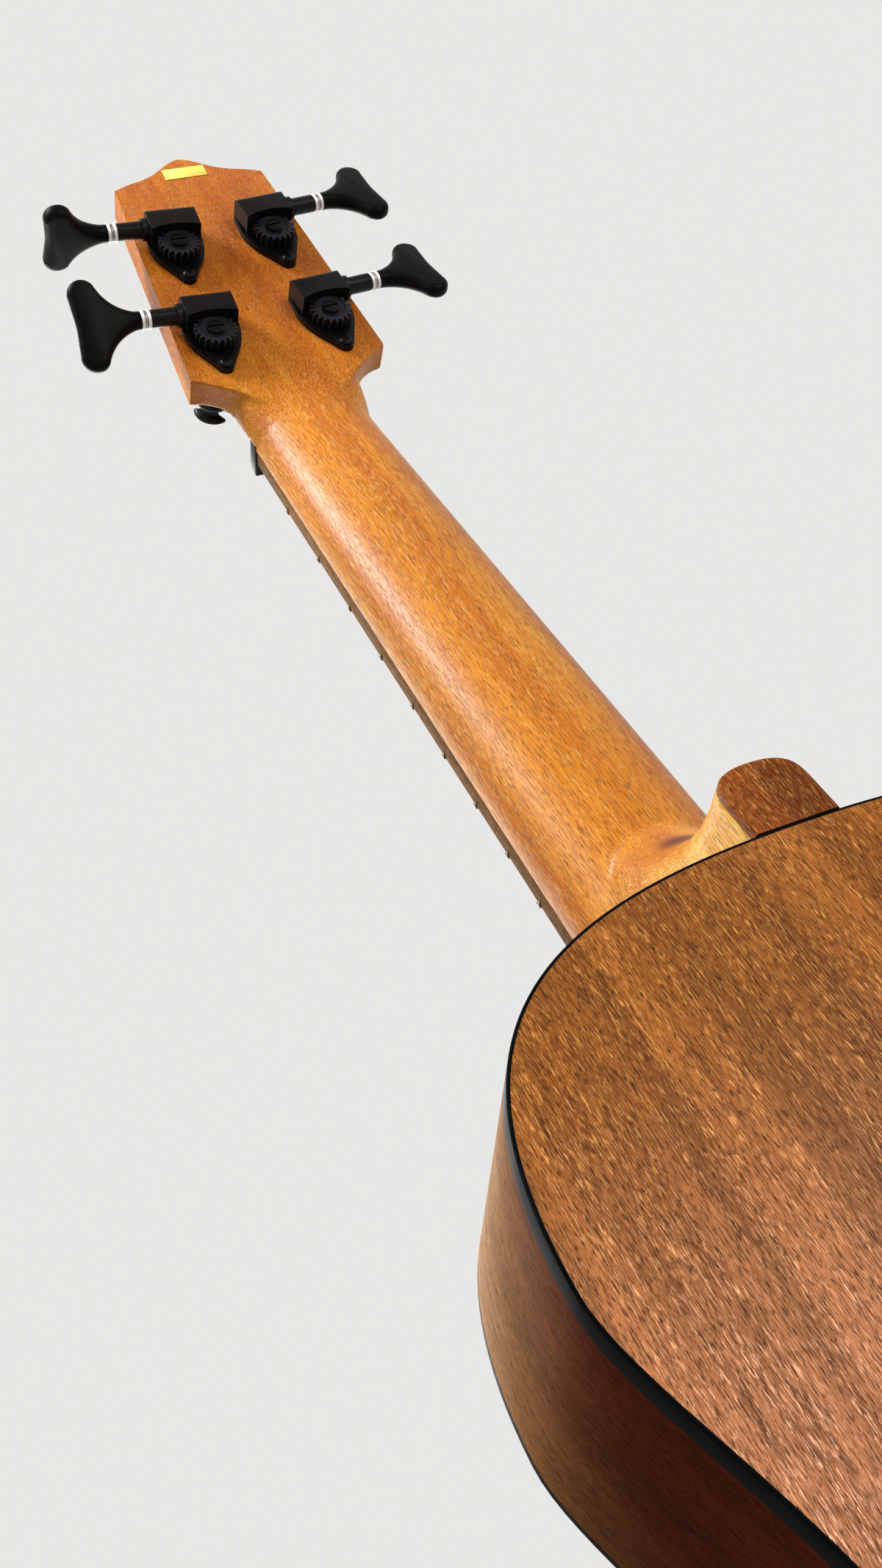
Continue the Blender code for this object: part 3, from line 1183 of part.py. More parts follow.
def make_tuner(index, top_frame, head_frame):
    name, radius, turns, side, row, key_angle = STRINGS[index]
    u, v = TUNER_ROWS[row]
    out = -side
    frame = add_frame("tuner_frame_" + name, head_frame, (u, side * v, -HEAD_THICKNESS),
                      (math.pi, 0, -side * EDGE_ANGLE))
    shaft_frame = add_frame("shaft_frame_" + name, frame, (SHAFT_OFFSET, 0, SHAFT_HEIGHT),
                            (-out * math.pi / 2, 0, 0))
    bpy.context.view_layer.update()
    make_housing("tuner_housing_" + name, out, frame)
    add_object("worm_shaft_" + name, shaft_mesh("worm_shaft_" + name), "black_metal", shaft_frame)
    key = add_object("key_" + name, key_mesh("key_" + name), "black_metal", shaft_frame,
                     rotation=(0, 0, -out * key_angle))
    socket = rod("key_socket_" + name, KEY_STUB[0] + SEAT, KEY_START - 1 * MM,
                 KEY_START + KEY_STUB[1] + SEAT, 12)
    cut(key, "key_socket_" + name, [socket], shaft_frame)
    make_wheel("worm_wheel_" + name, frame)
    nut = frame.matrix_world.inverted() @ top_frame.matrix_world @ nut_point(index, radius)
    make_post("string_post_" + name, slot_bearing(radius, turns, nut, out), frame)
    make_bushing("post_bushing_" + name, frame)
    make_screw("tuner_screw_" + name, frame)
    make_string(index, top_frame, frame)


def centre_on_box(root):
    """Move the instrument so that the origin lies under the middle of its box."""
    bpy.context.view_layer.update()
    graph = bpy.context.evaluated_depsgraph_get()
    places = []
    for item in PARTS.objects:
        if item.type == "MESH":
            shown = item.evaluated_get(graph)
            places += [(shown.matrix_world @ Vector(corner)).x for corner in shown.bound_box]
    root.location.x = -(min(places) + max(places)) / 2
    bpy.context.view_layer.update()


def build():
    root = add_frame("instrument")
    top_frame = add_frame("soundboard_frame", root, (0, 0, DEPTH_AT_NECK), (0, SLOPE, 0))
    head_frame = add_frame("head_frame", top_frame, (NUT_X, 0, -HEAD_DROP), (0, HEAD_TILT, 0))
    make_body(root, top_frame)
    make_neck(root, top_frame, head_frame)
    make_fretboard(top_frame)
    make_nut(top_frame)
    make_bridge(top_frame)
    for index in range(len(STRINGS)):
        make_tuner(index, top_frame, head_frame)
    centre_on_box(root)


build()
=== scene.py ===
import math

import bmesh
import bpy
from mathutils import Matrix, Vector


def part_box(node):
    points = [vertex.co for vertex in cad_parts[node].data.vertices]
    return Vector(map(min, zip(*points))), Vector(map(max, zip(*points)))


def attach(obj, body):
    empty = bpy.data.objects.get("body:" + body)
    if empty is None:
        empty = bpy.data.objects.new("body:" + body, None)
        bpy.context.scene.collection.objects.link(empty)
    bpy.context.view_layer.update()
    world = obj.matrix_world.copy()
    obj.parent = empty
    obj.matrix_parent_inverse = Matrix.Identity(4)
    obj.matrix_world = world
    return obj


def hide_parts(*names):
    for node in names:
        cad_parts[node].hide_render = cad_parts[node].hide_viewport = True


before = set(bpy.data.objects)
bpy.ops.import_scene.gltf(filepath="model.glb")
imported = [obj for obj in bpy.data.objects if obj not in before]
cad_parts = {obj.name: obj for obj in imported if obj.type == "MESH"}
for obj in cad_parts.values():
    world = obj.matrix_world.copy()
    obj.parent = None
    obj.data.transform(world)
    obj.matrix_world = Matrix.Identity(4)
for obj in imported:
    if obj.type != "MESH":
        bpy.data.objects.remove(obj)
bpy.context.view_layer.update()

mm = 0.001
print("frame loaded:", len(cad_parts), "nodes")


# Sizes that many pieces share, in metres

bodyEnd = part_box("rib_treble")[1].x      # the body's edge under the neck
body = {
    "length": 356 * mm,
    "depthAtNeck": 67.3 * mm,
    "depthAtTail": 74.8 * mm,
    "bindingWidth": 0.75 * mm,
    "backBinding": 5 * mm,
    "topBinding": 2.2 * mm,
    "bindingRound": 0.35 * mm,
    "plate": 2.4 * mm,
    "plateGap": 0.02 * mm,
    "rib": 2.2 * mm,
    "ribGap": 0.01 * mm,
    "soundhole": (-97 * mm, 31 * mm),    # place along the body and radius
}
slope = math.atan((body["depthAtTail"] - body["depthAtNeck"]) / body["length"])
scaleLength = 520 * mm
nutX = scaleLength / 2 + 3.2 * mm
saddleX = nutX - scaleLength
head = {
    "tilt": math.radians(11.85),
    "drop": 1 * mm,
    "thickness": 11.5 * mm,
    "bore": 6 * mm,
    "shoulder": (25.8 * mm, 36 * mm),
    "tipCorner": (128 * mm, 29 * mm),
    # half width, and rise past the tip's corners
    "ogee": ((23.5 * mm, 2.2 * mm), (17.5 * mm, 3.9 * mm), (12.7 * mm, 5.9 * mm), (8.5 * mm, 8.7 * mm),
             (5 * mm, 11.2 * mm), (2.3 * mm, 12.6 * mm), (0, 13 * mm)),
}
edgeAngle = math.atan((head["shoulder"][1] - head["tipCorner"][1])
                      / (head["tipCorner"][0] - head["shoulder"][0]))
board = {"seat": 0.05 * mm, "top": 5.3 * mm, "fretTop": 6.3 * mm, "frets": 16, "tail": 7.5 * mm}
neckWidth = {"atNut": 21.2 * mm, "atJoint": 26.3 * mm}      # half widths
# side 1 is the bass side, row 0 lies next to the nut, and the key's angle is in degrees
strings = (
    {"name": "e", "radius": 2.2 * mm, "turns": 1.7, "side": 1, "row": 0, "keyAngle": -7.5},
    {"name": "a", "radius": 1.8 * mm, "turns": 2.0, "side": 1, "row": 1, "keyAngle": -5.9},
    {"name": "d", "radius": 1.5 * mm, "turns": 2.5, "side": -1, "row": 1, "keyAngle": 104.6},
    {"name": "g", "radius": 1.2 * mm, "turns": 2.7, "side": -1, "row": 0, "keyAngle": 30.3},
)
tunerRows = ((41.3 * mm, 21.4 * mm), (87.7 * mm, 18.1 * mm))      # from the nut, and from the middle

rootFrame = Matrix.Translation((bodyEnd, 0, 0))
topFrame = rootFrame @ Matrix.Translation((0, 0, body["depthAtNeck"])) @ Matrix.Rotation(slope, 4, "Y")
headFrame = (topFrame @ Matrix.Translation((nutX, 0, -head["drop"]))
             @ Matrix.Rotation(head["tilt"], 4, "Y"))


def fretDistance(number):
    return scaleLength * (1 - 2 ** (-number / 12))


# Small tools for meshes

def smooth(mesh, angle=35):
    mesh.shade_smooth()
    mesh.set_sharp_from_angle(angle=math.radians(angle))
    return mesh


def meshFrom(name, bm, angle=35):
    bmesh.ops.recalc_face_normals(bm, faces=bm.faces)
    mesh = bpy.data.meshes.new(name)
    bm.to_mesh(mesh)
    bm.free()
    return smooth(mesh, angle)


def loft(name, sections, closed=False, angle=35):
    bm = bmesh.new()
    rings = [[bm.verts.new(point) for point in section] for section in sections]
    following = rings[1:] + (rings[:1] if closed else [])
    for ring, after in zip(rings, following):
        for i in range(len(ring)):
            j = (i + 1) % len(ring)
            bm.faces.new((ring[i], ring[j], after[j], after[i]))
    if not closed:
        bm.faces.new(list(reversed(rings[0])))
        bm.faces.new(rings[-1])
    return meshFrom(name, bm, angle)


def slab(name, outline, low, high, angle=35):
    def level(height, x):
        return height(x) if callable(height) else height
    return loft(name, [[(x, y, level(h, x)) for x, y in outline] for h in (low, high)], angle=angle)


def block(name, low, high):
    outline = [(low[0], low[1]), (high[0], low[1]), (high[0], high[1]), (low[0], high[1])]
    return slab(name, outline, low[2], high[2])


def lathe(name, profile, steps=48):
    # the profile is a list of (radius, height); a zero radius closes an end
    bm = bmesh.new()
    rings = []
    for radius, height in profile:
        if radius == 0:
            rings.append([bm.verts.new((0, 0, height))])
            continue
        turns = [2 * math.pi * i / steps for i in range(steps)]
        rings.append([bm.verts.new((radius * math.cos(a), radius * math.sin(a), height)) for a in turns])
    hollow = profile[0][0] > 0 and profile[-1][0] > 0
    for ring, after in zip(rings, rings[1:] + (rings[:1] if hollow else [])):
        for i in range(steps):
            j = (i + 1) % steps
            corners = [ring[i % len(ring)], ring[j % len(ring)], after[j % len(after)], after[i % len(after)]]
            bm.faces.new(list(dict.fromkeys(corners)))
    return meshFrom(name, bm, 30)


def rod(name, radius, low, high, steps=48, axis="Z", centre=(0, 0)):
    turn = {"X": Matrix.Rotation(math.pi / 2, 4, "Y"), "Y": Matrix.Rotation(-math.pi / 2, 4, "X"),
            "Z": Matrix.Identity(4)}[axis]
    middle = (low + high) / 2
    place = {"X": (middle, *centre), "Y": (centre[0], middle, centre[1]), "Z": (*centre, middle)}[axis]
    bm = bmesh.new()
    bmesh.ops.create_cone(bm, cap_ends=True, segments=steps, radius1=radius, radius2=radius,
                          depth=high - low, matrix=Matrix.Translation(place) @ turn)
    return meshFrom(name, bm)


def joined(name, meshes):
    bm = bmesh.new()
    for mesh in meshes:
        bm.from_mesh(mesh)
    return meshFrom(name, bm)


def worked(mesh, *steps, angle=35):
    # runs modifiers on a mesh for good: each step is (kind, settings), and a tool mesh is one setting
    item = bpy.data.objects.new("work", mesh)
    bpy.context.scene.collection.objects.link(item)
    tools = []
    for kind, settings in steps:
        modifier = item.modifiers.new(kind.lower(), kind)
        for key, value in settings.items():
            if key == "tool":
                tool = bpy.data.objects.new("tool", value)
                bpy.context.scene.collection.objects.link(tool)
                modifier.object = tool
                tools.append(tool)
            elif key == "group":
                group = item.vertex_groups.new(name="zone")
                for vertex in mesh.vertices:
                    group.add([vertex.index], value(vertex.co), "REPLACE")
                modifier.vertex_group = "zone"
            else:
                setattr(modifier, key, value)
    graph = bpy.context.evaluated_depsgraph_get()
    result = bpy.data.meshes.new_from_object(item.evaluated_get(graph), depsgraph=graph)
    result.name = mesh.name
    for thing in [item] + tools:
        bpy.data.objects.remove(thing, do_unlink=True)
    return smooth(result, angle)


def cutBy(tool):
    return ("BOOLEAN", {"operation": "DIFFERENCE", "solver": "EXACT", "tool": tool})


def unitedWith(tool):
    return ("BOOLEAN", {"operation": "UNION", "solver": "EXACT", "tool": tool})


def bevelled(width, segments=3, limit=35):
    return ("BEVEL", {"width": width, "segments": segments, "limit_method": "ANGLE",
                      "angle_limit": math.radians(limit), "use_clamp_overlap": True,
                      "miter_outer": "MITER_ARC", "harden_normals": False})


def insetOutline(outline, distance):
    moved = []
    for i, (x, y) in enumerate(outline):
        before, after = outline[i - 1], outline[(i + 1) % len(outline)]
        tx, ty = after[0] - before[0], after[1] - before[1]
        length = math.hypot(tx, ty)
        moved.append((x - ty / length * distance, y + tx / length * distance))
    return moved


def ease(t):
    t = min(max(t, 0), 1)
    return t * t * (3 - 2 * t)


def hump(value, rise, fall):
    # 0 outside, 1 inside, eased over the rise and the fall, which are (place, run)
    return ease((value - rise[0]) / rise[1]) * ease((fall[0] - value) / fall[1])


def between(table, x):
    # value at x on a table of (x, value), straight between its entries
    if x <= table[0][0]:
        return table[0][1]
    for (x0, v0), (x1, v1) in zip(table, table[1:]):
        if x <= x1:
            return v0 + (v1 - v0) * (x - x0) / (x1 - x0)
    return table[-1][1]


def throughPoints(knots, steps):
    # smooth open run through points
    run = []
    for i in range(len(knots) - 1):
        p0, p1 = Vector(knots[max(i - 1, 0)]), Vector(knots[i])
        p2, p3 = Vector(knots[i + 1]), Vector(knots[min(i + 2, len(knots) - 1)])
        for t in (step / steps for step in range(steps)):
            run.append(tuple(0.5 * (2 * p1 + (p2 - p0) * t + (2 * p0 - 5 * p1 + 4 * p2 - p3) * t * t
                                    + (3 * p1 - p0 - 3 * p2 + p3) * t ** 3)))
    return run + [tuple(knots[-1])]


def addPiece(name, mesh, place, material, node=None, rides="instrument"):
    piece = bpy.data.objects.new(name, mesh)
    bpy.context.scene.collection.objects.link(piece)
    piece.matrix_world = place
    mesh.materials.clear()
    mesh.materials.append(material)
    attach(piece, rides)
    if node:
        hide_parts(node)
    return piece


# Materials

class Shade:
    # a node tree with a short way to add nodes
    def __init__(self, name):
        self.material = bpy.data.materials.new(name)
        self.material.use_nodes = True
        self.tree = self.material.node_tree
        self.shader = self.tree.nodes["Principled BSDF"]

    def node(self, kind, inputs, **settings):
        node = self.tree.nodes.new(kind)
        for key, value in settings.items():
            setattr(node, key, value)
        for key, value in inputs.items():
            if isinstance(value, bpy.types.NodeSocket):
                self.tree.links.new(value, node.inputs[key])
            else:
                node.inputs[key].default_value = value
        return node

    def coordinates(self, kind="Object"):
        return self.node("ShaderNodeTexCoord", {}).outputs[kind]

    def noise(self, place, scale, detail=2.0, roughness=0.5):
        mapping = self.node("ShaderNodeMapping", {"Vector": place, "Scale": scale})
        return self.node("ShaderNodeTexNoise", {"Vector": mapping.outputs[0], "Scale": 1.0,
                                                "Detail": detail, "Roughness": roughness}).outputs[0]

    def band(self, value, low, high, start=0.0, end=1.0):
        return self.node("ShaderNodeMapRange", {"Value": value, "From Min": low, "From Max": high,
                                                "To Min": start, "To Max": end},
                         interpolation_type="SMOOTHSTEP").outputs[0]

    def mix(self, first, second, share):
        node = self.node("ShaderNodeMix", {}, data_type="RGBA")
        for index, value in ((6, first), (7, second), (0, share)):
            if isinstance(value, bpy.types.NodeSocket):
                self.tree.links.new(value, node.inputs[index])
            elif index == 0:
                node.inputs[index].default_value = value
            else:
                node.inputs[index].default_value = (*value, 1)
        return node.outputs[2]

    def times(self, first, second):
        node = self.node("ShaderNodeMath", {0: first, 1: second}, operation="MULTIPLY")
        return node.outputs[0]

    def bump(self, height, distance):
        node = self.node("ShaderNodeBump", {"Height": height, "Distance": distance, "Strength": 1.0})
        self.tree.links.new(node.outputs[0], self.shader.inputs["Normal"])

    def set(self, **values):
        names = {"colour": "Base Color", "roughness": "Roughness", "metallic": "Metallic",
                 "specular": "Specular IOR Level"}
        for key, value in values.items():
            socket = self.shader.inputs[names[key]]
            if isinstance(value, bpy.types.NodeSocket):
                self.tree.links.new(value, socket)
            else:
                socket.default_value = (*value, 1) if key == "colour" else value


def rgb(red, green, blue):
    # colour written in 0 to 255, turned to the linear values that Blender wants
    def linear(c):
        c /= 255
        return c / 12.92 if c <= 0.04045 else ((c + 0.055) / 1.055) ** 2.4
    return tuple(linear(c) for c in (red, green, blue))


# where each noise of the wood starts and ends to show
grainEdges = {
    "bands": (0.36, 0.64), "cloud": (0.45, 0.75), "fibre": (0.48, 0.62), "line": (0.38, 0.6, 0.35, 1.0),
    "fleck": (0.52, 0.6), "pore": (0.58, 0.64), "roughness": (0.3, 0.7), "driftScale": (9, 22, 22),
}


def wood(name, look, kind="Object"):
    shade = Shade(name)
    place = shade.coordinates(kind)
    along = shade.node("ShaderNodeSeparateXYZ", {"Vector": place}).outputs[0]
    # a slow drift of the grain lines
    drift = shade.node("ShaderNodeMapping", {"Vector": place, "Scale": grainEdges["driftScale"]})
    wander = shade.node("ShaderNodeTexNoise", {"Vector": drift.outputs[0], "Scale": 1.0, "Detail": 1.0})
    centred = shade.node("ShaderNodeVectorMath", {0: wander.outputs[1], 1: (0.5, 0.5, 0.5)},
                         operation="SUBTRACT")
    shift = shade.node("ShaderNodeVectorMath",
                       {0: centred.outputs[0], 1: (0, look["drift"], look["drift"])}, operation="MULTIPLY")
    place = shade.node("ShaderNodeVectorMath", {0: place, 1: shift.outputs[0]}, operation="ADD").outputs[0]
    # broad bands, cloudy figure, fibres, then gold flecks and dark pores
    bands = shade.band(shade.noise(place, look["bandScale"], 3.0, 0.6), *grainEdges["bands"])
    colour = shade.mix(look["dark"], look["light"], bands)
    cloud = shade.noise(place, look["cloudScale"], 3.0, 0.6)
    cloudy = shade.band(cloud, *grainEdges["cloud"])
    colour = shade.mix(colour, look["deep"], shade.times(cloudy, look["cloud"]))
    fibre = shade.noise(place, look["fibreScale"], 4.0, 0.7)
    fibrous = shade.band(fibre, *grainEdges["fibre"])
    colour = shade.mix(colour, look["deep"], shade.times(fibrous, look["fibre"]))
    # the flecks crowd in long lines
    line = shade.band(shade.noise(place, look["lineScale"], 2.0), *grainEdges["line"])
    fleck = shade.band(shade.noise(place, look["fleckScale"], 3.0, 0.6), *grainEdges["fleck"])
    fleck = shade.times(fleck, line)
    colour = shade.mix(colour, look["fleckColour"], shade.times(fleck, look["fleck"]))
    pore = shade.band(shade.noise(place, look["poreScale"], 2.0), *grainEdges["pore"])
    colour = shade.mix(colour, look["poreColour"], shade.times(pore, look["pore"]))
    for start, end, tone in look["tonesAndPaintedLight"]:
        # a change of tone along the piece: mostly painted shade or painted sheen, partly the wood's own tone
        toned = shade.node("ShaderNodeMix", {0: 1.0, 6: colour, 7: (*tone, 1)}, data_type="RGBA",
                           blend_type="MULTIPLY")
        colour = shade.mix(colour, toned.outputs[2], shade.band(along, start, end))
    # painted shade and painted dark reflection in a crease, fading out from a point
    for spot, reach, share, cornerShadeColour in look.get("cornerShade", ()):
        away = shade.node("ShaderNodeVectorMath", {0: place, 1: spot}, operation="DISTANCE")
        colour = shade.mix(colour, cornerShadeColour, shade.band(away.outputs["Value"], 0.15 * reach, reach, share, 0.0))
    rough = look["roughness"]
    shade.set(colour=colour, specular=look["specular"],
              roughness=shade.band(fibre, *grainEdges["roughness"], rough - 0.05, rough + 0.08))
    height = shade.node("ShaderNodeMath", {0: fleck, 1: pore}, operation="SUBTRACT").outputs[0]
    shade.bump(height, look["relief"])
    return shade.material


neckWoodLook = {
    "dark": rgb(188, 106, 12), "light": rgb(212, 138, 32), "deep": rgb(132, 62, 2),
    "bandScale": (5, 90, 90), "cloudScale": (40, 320, 320), "cloud": 0.3,
    "fibreScale": (130, 2800, 2800), "fibre": 0.6, "lineScale": (12, 500, 500),
    "fleckScale": (240, 3200, 3200), "fleckColour": rgb(232, 176, 90), "fleck": 0.6,
    "poreScale": (300, 3600, 3600), "poreColour": rgb(96, 42, 2), "pore": 0.65,
    "drift": 5 * mm, "roughness": 0.36, "specular": 0.27, "relief": 0.03 * mm,
    # change of tone along the neck: start, end and factors; lighter towards the nut, the head darker as
    # painted shade, and the heel the palest, partly its own paler wood and partly a painted highlight on its
    # lit flank
    "tonesAndPaintedLight": ((nutX - 90 * mm, nutX + 10 * mm, (1.22, 1.2, 0.9)),
              (nutX - 10 * mm, nutX + 60 * mm, (0.78, 0.62, 0.42)),
              (42 * mm, 0, (1.5, 2.4, 6.5))),
    # painted shade and painted dark reflection in the heel's inner corner: place, reach, strength and colour
    "cornerShade": (((34 * mm, -5 * mm, -27.5 * mm), 15 * mm, 0.4, rgb(150, 66, 24)),
               ((34.6 * mm, -1.5 * mm, -27.8 * mm), 8 * mm, 0.9, rgb(74, 32, 34))),
}
backWoodLook = {
    "dark": rgb(136, 78, 22), "light": rgb(178, 112, 44), "deep": rgb(88, 42, 8),
    "bandScale": (2.5, 60, 60), "cloudScale": (8, 300, 300), "cloud": 0.35,
    "fibreScale": (160, 4000, 4000), "fibre": 0.8, "lineScale": (8, 520, 520),
    "fleckScale": (330, 4800, 4800), "fleckColour": rgb(232, 170, 90), "fleck": 0.95,
    "poreScale": (480, 4600, 4600), "poreColour": rgb(60, 24, 4), "pore": 0.85,
    "drift": 3 * mm, "roughness": 0.4, "specular": 0.12, "relief": 0.04 * mm,
    # painted sheen: lighter and paler towards the tail
    "tonesAndPaintedLight": ((-30 * mm, -150 * mm, (1.65, 2.1, 6.0)),),
}
# the rib painted paler and greyer as a painted sheen, with its own sheen nearly off, and darker towards the
# tail as painted shade
ribWoodLook = dict(backWoodLook, dark=rgb(158, 118, 84), light=rgb(196, 152, 114), fleck=0.7, fibre=0.7,
                   pore=0.9, roughness=0.6, specular=0.01,
                   tonesAndPaintedLight=((64 * mm, 106 * mm, (0.6, 0.48, 0.3)), (88 * mm, 148 * mm, (0.36, 0.13, 0.06))))
capWoodLook = dict(backWoodLook, dark=rgb(106, 48, 8), light=rgb(146, 74, 18), fleck=0.7, tonesAndPaintedLight=())
boardWoodLook = dict(backWoodLook, dark=rgb(112, 78, 44), light=rgb(138, 100, 62), deep=rgb(64, 38, 20),
                     fleckColour=rgb(160, 122, 84), fleck=0.4, poreColour=rgb(44, 26, 14), specular=0.05,
                     roughness=0.7, tonesAndPaintedLight=())
spruceLook = dict(boardWoodLook, dark=rgb(206, 170, 118), light=rgb(228, 198, 150),
                  deep=rgb(176, 132, 84), fleckColour=rgb(240, 214, 170), fleck=0.3,
                  poreColour=rgb(150, 108, 66), pore=0.25, roughness=0.65, tonesAndPaintedLight=())


def plastic(name, colour, roughness, specular=0.2, grain=0.0, fineness=900):
    shade = Shade(name)
    place = shade.coordinates()
    mottle = shade.noise(place, (fineness,) * 3, 2.0)
    slow = shade.noise(place, (60, 60, 60), 2.0)
    lighter = tuple(min(c * 1.35 + 0.002, 1) for c in colour)
    shade.set(colour=shade.mix(colour, lighter, shade.band(slow, 0.35, 0.7)), specular=specular,
              roughness=shade.band(slow, 0.3, 0.7, roughness - 0.03, roughness + 0.05))
    if grain:
        shade.bump(mottle, grain)
    return shade.material


brushMarks = {"scale": (200, 200, 4000), "relief": 0.01 * mm}


def metal(name, colour, roughness, metallic=1.0):
    shade = Shade(name)
    place = shade.coordinates()
    lines = shade.noise(place, brushMarks["scale"], 2.0)
    darker = tuple(c * 0.82 for c in colour)
    shade.set(colour=shade.mix(colour, darker, shade.band(lines, 0.35, 0.7)), metallic=metallic,
              roughness=shade.band(lines, 0.3, 0.7, roughness - 0.05, roughness + 0.07))
    shade.bump(lines, brushMarks["relief"])
    return shade.material


materials = {
    "neckWood": wood("neckMahogany", neckWoodLook),
    "backWood": wood("backMahogany", backWoodLook),
    "ribWood": wood("ribMahogany", ribWoodLook, "UV"),
    "capWood": wood("capMahogany", capWoodLook),
    "boardWood": wood("boardWalnut", boardWoodLook),
    "spruce": wood("innerSpruce", spruceLook),
    "binding": plastic("blackBinding", (0.003, 0.0035, 0.0035), 0.45, 0.01),
    "blackPlastic": plastic("blackNut", (0.004, 0.004, 0.004), 0.35),
    "bone": plastic("paleSaddle", rgb(226, 220, 200), 0.4, 0.4),
    "blackFinish": plastic("blackTuner", (0.0025, 0.0025, 0.003), 0.28, 0.16, 0.006 * mm, 2500),
    "keyFinish": plastic("blackKey", (0.002, 0.0018, 0.0018), 0.34, 0.06, 0.004 * mm, 2500),
    "wheelFinish": metal("slateWheel", rgb(26, 31, 40), 0.32, 0.4),
    "ringFinish": metal("brightRing", rgb(244, 244, 242), 0.45, 0.5),
    "fretFinish": metal("nickelFret", rgb(126, 116, 98), 0.5, 0.8),
    "steelFinish": metal("steelStrip", rgb(150, 150, 150), 0.35),
    "stringFinish": plastic("blackString", (0.008, 0.008, 0.008), 0.42, 0.2, 0.01 * mm, 1500),
    "labelFinish": plastic("yellowLabel", rgb(246, 232, 112), 0.45),
}
print("materials:", len(materials))


# Outline of the body

outlineShape = {
    "upper": (-73 * mm, 96.1 * mm), "waist": (-150 * mm, 76.3 * mm), "lower": (-252 * mm, 127 * mm),
    "neckEnd": 52.6 * mm, "upperPull": (63.4 * mm, 17.6 * mm), "waistPull": (28.3 * mm, 36 * mm),
    "lowerPull": (48 * mm, 62 * mm), "tailPull": 75 * mm, "steps": (44, 18, 26, 48),
}


def bezier(start, leave, arrive, end, steps):
    stations = []
    knots = (start, leave, arrive, end)
    for i in range(steps):
        t = i / steps
        u = 1 - t
        weights = (u ** 3, 3 * u * u * t, 3 * u * t * t, t ** 3)
        slopes = (-u * u, u * u - 2 * u * t, 2 * u * t - t * t, t * t)
        x, y = (sum(w * k[n] for w, k in zip(weights, knots)) for n in (0, 1))
        dx, dy = (sum(s * k[n] for s, k in zip(slopes, knots)) for n in (0, 1))
        length = math.hypot(dx, dy)
        stations.append((x, y, dy / length, -dx / length))
    return stations


def halfStations(shape):
    (ux, uy), (wx, wy), (lx, ly) = shape["upper"], shape["waist"], shape["lower"]
    tail = -body["length"]
    stretches = (
        ((0, 0), (0, shape["neckEnd"]), (ux + shape["upperPull"][0], uy), (ux, uy)),
        ((ux, uy), (ux - shape["upperPull"][1], uy), (wx + shape["waistPull"][0], wy), (wx, wy)),
        ((wx, wy), (wx - shape["waistPull"][1], wy), (lx + shape["lowerPull"][0], ly), (lx, ly)),
        ((lx, ly), (lx - shape["lowerPull"][1], ly), (tail, shape["tailPull"]), (tail, 0)),
    )
    stations = []
    for stretch, steps in zip(stretches, shape["steps"]):
        stations += bezier(*stretch, steps)
    return stations + [(tail, 0, -1, 0)]


stations = halfStations(outlineShape)


def halfOutline(offset):
    return [(x - nx * offset, y - ny * offset) for x, y, nx, ny in stations]


def fullOutline(offset):
    half = halfOutline(offset)
    return half + [(x, -y) for x, y in reversed(half[1:-1])]


def topHeight(x):
    return body["depthAtNeck"] - x * math.tan(slope)


def belowTop(depth):
    return lambda x: topHeight(x) - depth


# Body: plates, bindings and ribs

def makePlates():
    outline, gap = fullOutline(body["bindingWidth"]), body["plateGap"]
    back = slab("backPlate", outline, gap, body["plate"], 60)
    addPiece("backPlate", back, rootFrame, materials["backWood"], "back")
    top = slab("topPlate", outline, belowTop(body["plate"]), belowTop(gap), 60)
    centre, radius = body["soundhole"]
    hole = rod("soundhole", radius, 40 * mm, 100 * mm, 96, centre=(centre, 0))
    top = worked(top, cutBy(hole), angle=60)
    addPiece("topPlate", top, rootFrame, materials["backWood"], "top")


def makeBinding(name, node, tall, edge, outerIsLow):
    # the outer edge is rounded, as it is scraped on the real strip
    wide, soft = body["bindingWidth"], body["bindingRound"]
    corner = [(soft * (1 - math.sin(a)), soft * (1 - math.cos(a)))
              for a in (math.pi / 2 * i / 4 for i in range(5))]
    sections = []
    for x, y, nx, ny in stations + [(x, -y, nx, -ny) for x, y, nx, ny in reversed(stations[1:-1])]:
        shape = corner + [(0, tall), (wide, tall), (wide, 0)]
        base = edge(x)
        sign = 1 if outerIsLow else -1
        sections.append([(x - nx * inset, y - ny * inset, base + sign * rise) for inset, rise in shape])
    mesh = loft(name, sections, closed=True, angle=50)
    addPiece(name, mesh, rootFrame, materials["binding"], node)


paintedShadeSlant = 0.6      # how far the painted shade on the rib slants with the height


def makeRib(name, node, side):
    low, lower = body["backBinding"], body["topBinding"]
    outer, inner = halfOutline(body["ribGap"]), halfOutline(body["rib"])
    sections, travel, run = [], [0.0], 0.0
    for (x0, y0), (x1, y1) in zip(outer, outer[1:]):
        run += math.hypot(x1 - x0, y1 - y0)
        travel.append(run)
    for (xo, yo), (xi, yi) in zip(outer, inner):
        yo, yi = max(yo, 0.05 * mm), max(yi, 0.05 * mm)      # the two ribs don't touch
        sections.append([(xo, side * yo, low), (xo, side * yo, topHeight(xo) - lower),
                         (xi, side * yi, topHeight(xi) - lower), (xi, side * yi, low)])
    mesh = loft(name, sections, angle=50)
    # the grain follows the bend: u runs along the rib, sheared by the height so that the painted shade slants,
    # and v up
    layer = mesh.uv_layers.new(name="grain")
    for loop in mesh.loops:
        station = loop.vertex_index // 4
        corner = mesh.vertices[loop.vertex_index].co
        way = travel[min(station, len(travel) - 1)]
        layer.data[loop.index].uv = (way - paintedShadeSlant * corner.z, corner.z)
    addPiece(name, mesh, rootFrame, materials["ribWood"], node)


makePlates()
makeBinding("backBinding", "back_binding", body["backBinding"], lambda x: 0, True)
makeBinding("topBinding", "top_binding", body["topBinding"], belowTop(0), False)
makeRib("ribBass", "rib_bass", 1)
makeRib("ribTreble", "rib_treble", -1)
print("body done")


# Neck with heel and head, made as one surface

